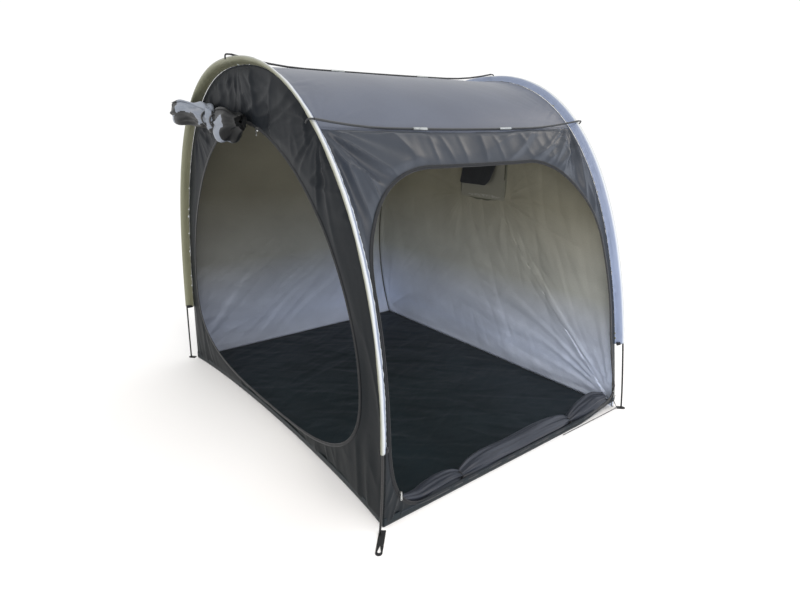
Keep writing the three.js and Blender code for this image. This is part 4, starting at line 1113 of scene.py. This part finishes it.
# ---- Vent ----
# A rectangular window high in end B, covered outside by a cloth hood. Inside, a black flap hangs
# over it and closes it.
hood_u = np.linspace(-1, 1, 60)[None, :] * np.ones((36, 1))
hood_v = np.linspace(0, 1, 36)[:, None] * np.ones((1, 60))
hood_y = -0.0725 + 0.166 * hood_u * (1 - 0.06 * hood_v)
hood_z = 1.232 - 0.226 * hood_v + 0.004 * np.cos(hood_u * 3)
bulge = np.sin(np.pi * hood_v * 0.93) * (1 - hood_u ** 4)
hood_x = shell_x("b", hood_z) + 0.002 + 0.064 * bulge + 0.0022 * noise(hood_u * 5, hood_v * 5, 121)
hood = cloth_mesh("vent_hood_cloth", np.stack([hood_x, hood_y, hood_z], -1)[::-1],
                  np.stack([hood_y, hood_z], -1)[::-1], paint=[slate_cloth, lining])
thicken(hood, CLOTH)
belongs(hood, "vent_hood")

FLAP_LENGTH, FLAP_TILT = 0.150, 0.26
flap_u = np.linspace(-0.225, 0.080, 60)[None, :] * np.ones((40, 1))
flap_v = np.linspace(0, 1, 40)[:, None] * np.ones((1, 60))
slanted = np.clip((-0.180 - flap_u) / 0.045, 0, 1) ** 1.4
rounded = 0.25 * np.clip((flap_u - 0.060) / 0.02, 0, 1) ** 2
flap_long = FLAP_LENGTH * (1 - 0.22 * (slanted + rounded))
flap_drop = flap_v * flap_long
flap_u = 0.080 + (flap_u - 0.080) * (0.87 - 0.10 * flap_v)
flap_x = (0.6325 - flap_drop * math.sin(FLAP_TILT) - 0.004 * np.sin(flap_v * 2.6)
          - 0.0025 * noise(flap_u / 0.06, flap_v * 2, 131) * flap_v)
flap_z = 1.2115 - flap_drop * math.cos(FLAP_TILT)
vent_black = woven("black polyester taffeta", "#26282b", 0.5, 0.2, 0.35, 0.1)
flap = cloth_mesh("vent_flap_cloth", np.stack([flap_x, flap_u, flap_z], -1), np.stack([flap_u, flap_z], -1),
                  paint=[vent_black, vent_black])
thicken(flap, 0.0014)
belongs(flap, "vent_flap", body="vent_flap")

# Insect netting of close olive thread fills the window.
net_points, net_faces = [], []
NET_LAP = 0.010  # sewn inside the wall, all round
NET_PITCH, NET_HALF = 0.0026, 0.0011
net_y, net_z = (VENT_LOW - NET_LAP, VENT_HIGH + NET_LAP), (VENT_SILL - NET_LAP, VENT_TOP + NET_LAP)
for lo, hi, other_lo, other_hi, axis in ((*net_y, *net_z, 0), (*net_z, *net_y, 1)):
    for at in np.arange(lo, hi, NET_PITCH):
        for side_step, end_at in ((-NET_HALF, other_lo), (NET_HALF, other_lo),
                                  (NET_HALF, other_hi), (-NET_HALF, other_hi)):
            y, z = (at + side_step, end_at) if axis == 0 else (end_at, at + side_step)
            net_points.append((shell_x("b", z) - 0.0016 - 0.0004 * axis, y, z))
        net_faces.append(tuple(range(len(net_points) - 4, len(net_points))))
net_mesh = bpy.data.meshes.new("vent_netting")
net_mesh.from_pydata(net_points, [], net_faces)
net_mesh.materials.append(grained("olive polyester netting", "#77766a", 0.7, 900.0, 0.0003))
net = bpy.data.objects.new("vent_netting", net_mesh)
bpy.context.scene.collection.objects.link(net)
belongs(net)

frame_edge = np.stack([xb[0], yb[0], zb[0]], -1)
spread = np.array([0, -0.0725, 1.1075])
away = frame_edge - spread
away[:, 0] = 0
away /= np.linalg.norm(away, axis=1, keepdims=True)
rows_in = np.array([frame_edge + away * d + np.array([-0.0022, 0, 0]) for d in (-0.001, 0.008, 0.018)])
uv = np.stack(np.meshgrid(lengths_along(frame_edge), [0, 0.009, 0.019]), -1)
vent_border = cloth_mesh("vent_border_tape", rows_in, uv, wrap=True, paint=[binding_tape])
thicken(vent_border, 0.0010, lining=False)
belongs(vent_border)

# ---- Hard parts that keep their modelled shapes ----
# Spreader poles, ferrules, hooks, zip sliders and pulls, and the webbing straps at the feet.


def hard(name, dark, light, roughness, metallic, scale, stretch=(1, 1, 1), bump=0.15):
    """A material in object space: two close colours clouded together, and a fine grain."""
    made, tree, shader = material(name, Metallic=metallic)
    where = node(tree, "ShaderNodeTexCoord").outputs["Object"]
    mapped = node(tree, "ShaderNodeMapping", {"Vector": where, "Scale": stretch}).outputs[0]
    cloud = node(tree, "ShaderNodeTexNoise", {"Vector": mapped, "Scale": scale, "Detail": 3.0})
    ramp = node(tree, "ShaderNodeValToRGB", {"Fac": cloud.outputs[0]})
    ramp.color_ramp.elements[0].color = linear(dark)
    ramp.color_ramp.elements[1].color = linear(light)
    tree.links.new(ramp.outputs[0], shader.inputs["Base Color"])
    rough = node(tree, "ShaderNodeMapRange",
                 {"Value": cloud.outputs[0], 3: roughness - 0.08, 4: roughness + 0.08})
    tree.links.new(rough.outputs[0], shader.inputs["Roughness"])
    grain = node(tree, "ShaderNodeTexNoise", {"Vector": mapped, "Scale": scale * 9})
    rise = node(tree, "ShaderNodeBump", {"Height": grain.outputs[0], "Strength": bump, "Distance": 0.0003})
    tree.links.new(rise.outputs[0], shader.inputs["Normal"])
    return made


pole_paint = hard("pultruded fibreglass, black, spreader", "#191b1d", "#34373a", 0.40, 0.0, 60.0,
                  stretch=(0.05, 1, 1))
steel = hard("nickel-plated steel", "#8f9494", "#c3c7c7", 0.30, 0.9, 90.0)
hook_paint = hard("black nylon", "#101112", "#24262a", 0.45, 0.0, 120.0)
zinc = hard("die-cast zinc, plated", "#9a9c9c", "#d6d8d6", 0.28, 0.95, 300.0)


def paint_solids(names, paint):
    """Gives one material to modelled solids, by how their names begin."""
    for thing in bpy.data.objects:
        if thing.type == "MESH" and thing.name.startswith(names):
            thing.data.materials.clear()
            thing.data.materials.append(paint)


for kind, paint in (("pole", pole_paint), ("ferrule", steel), ("hook", hook_paint)):
    paint_solids(tuple(f"{place}_{kind}_" for place in ("ridge", "front", "rear")), paint)
paint_solids("zip_", zinc)

webbing, webbing_tree, webbing_shader = material("black polypropylene webbing", Roughness=0.7,
                                                 Base_Color=linear("#17181a"))
web_where = node(webbing_tree, "ShaderNodeTexCoord").outputs["Object"]
web_waves = [node(webbing_tree, "ShaderNodeTexWave",
                  {"Vector": web_where, "Scale": 120.0, "Distortion": 0.3},
                  bands_direction=d).outputs["Fac"] for d in ("X", "Y")]
web_mix = node(webbing_tree, "ShaderNodeMath", {0: web_waves[0], 1: web_waves[1]}, operation="MULTIPLY")
web_bump = node(webbing_tree, "ShaderNodeBump",
                {"Height": web_mix.outputs[0], "Strength": 0.5, "Distance": 0.0006})
webbing_tree.links.new(web_bump.outputs[0], webbing_shader.inputs["Normal"])
paint_solids("corner_strap", webbing)
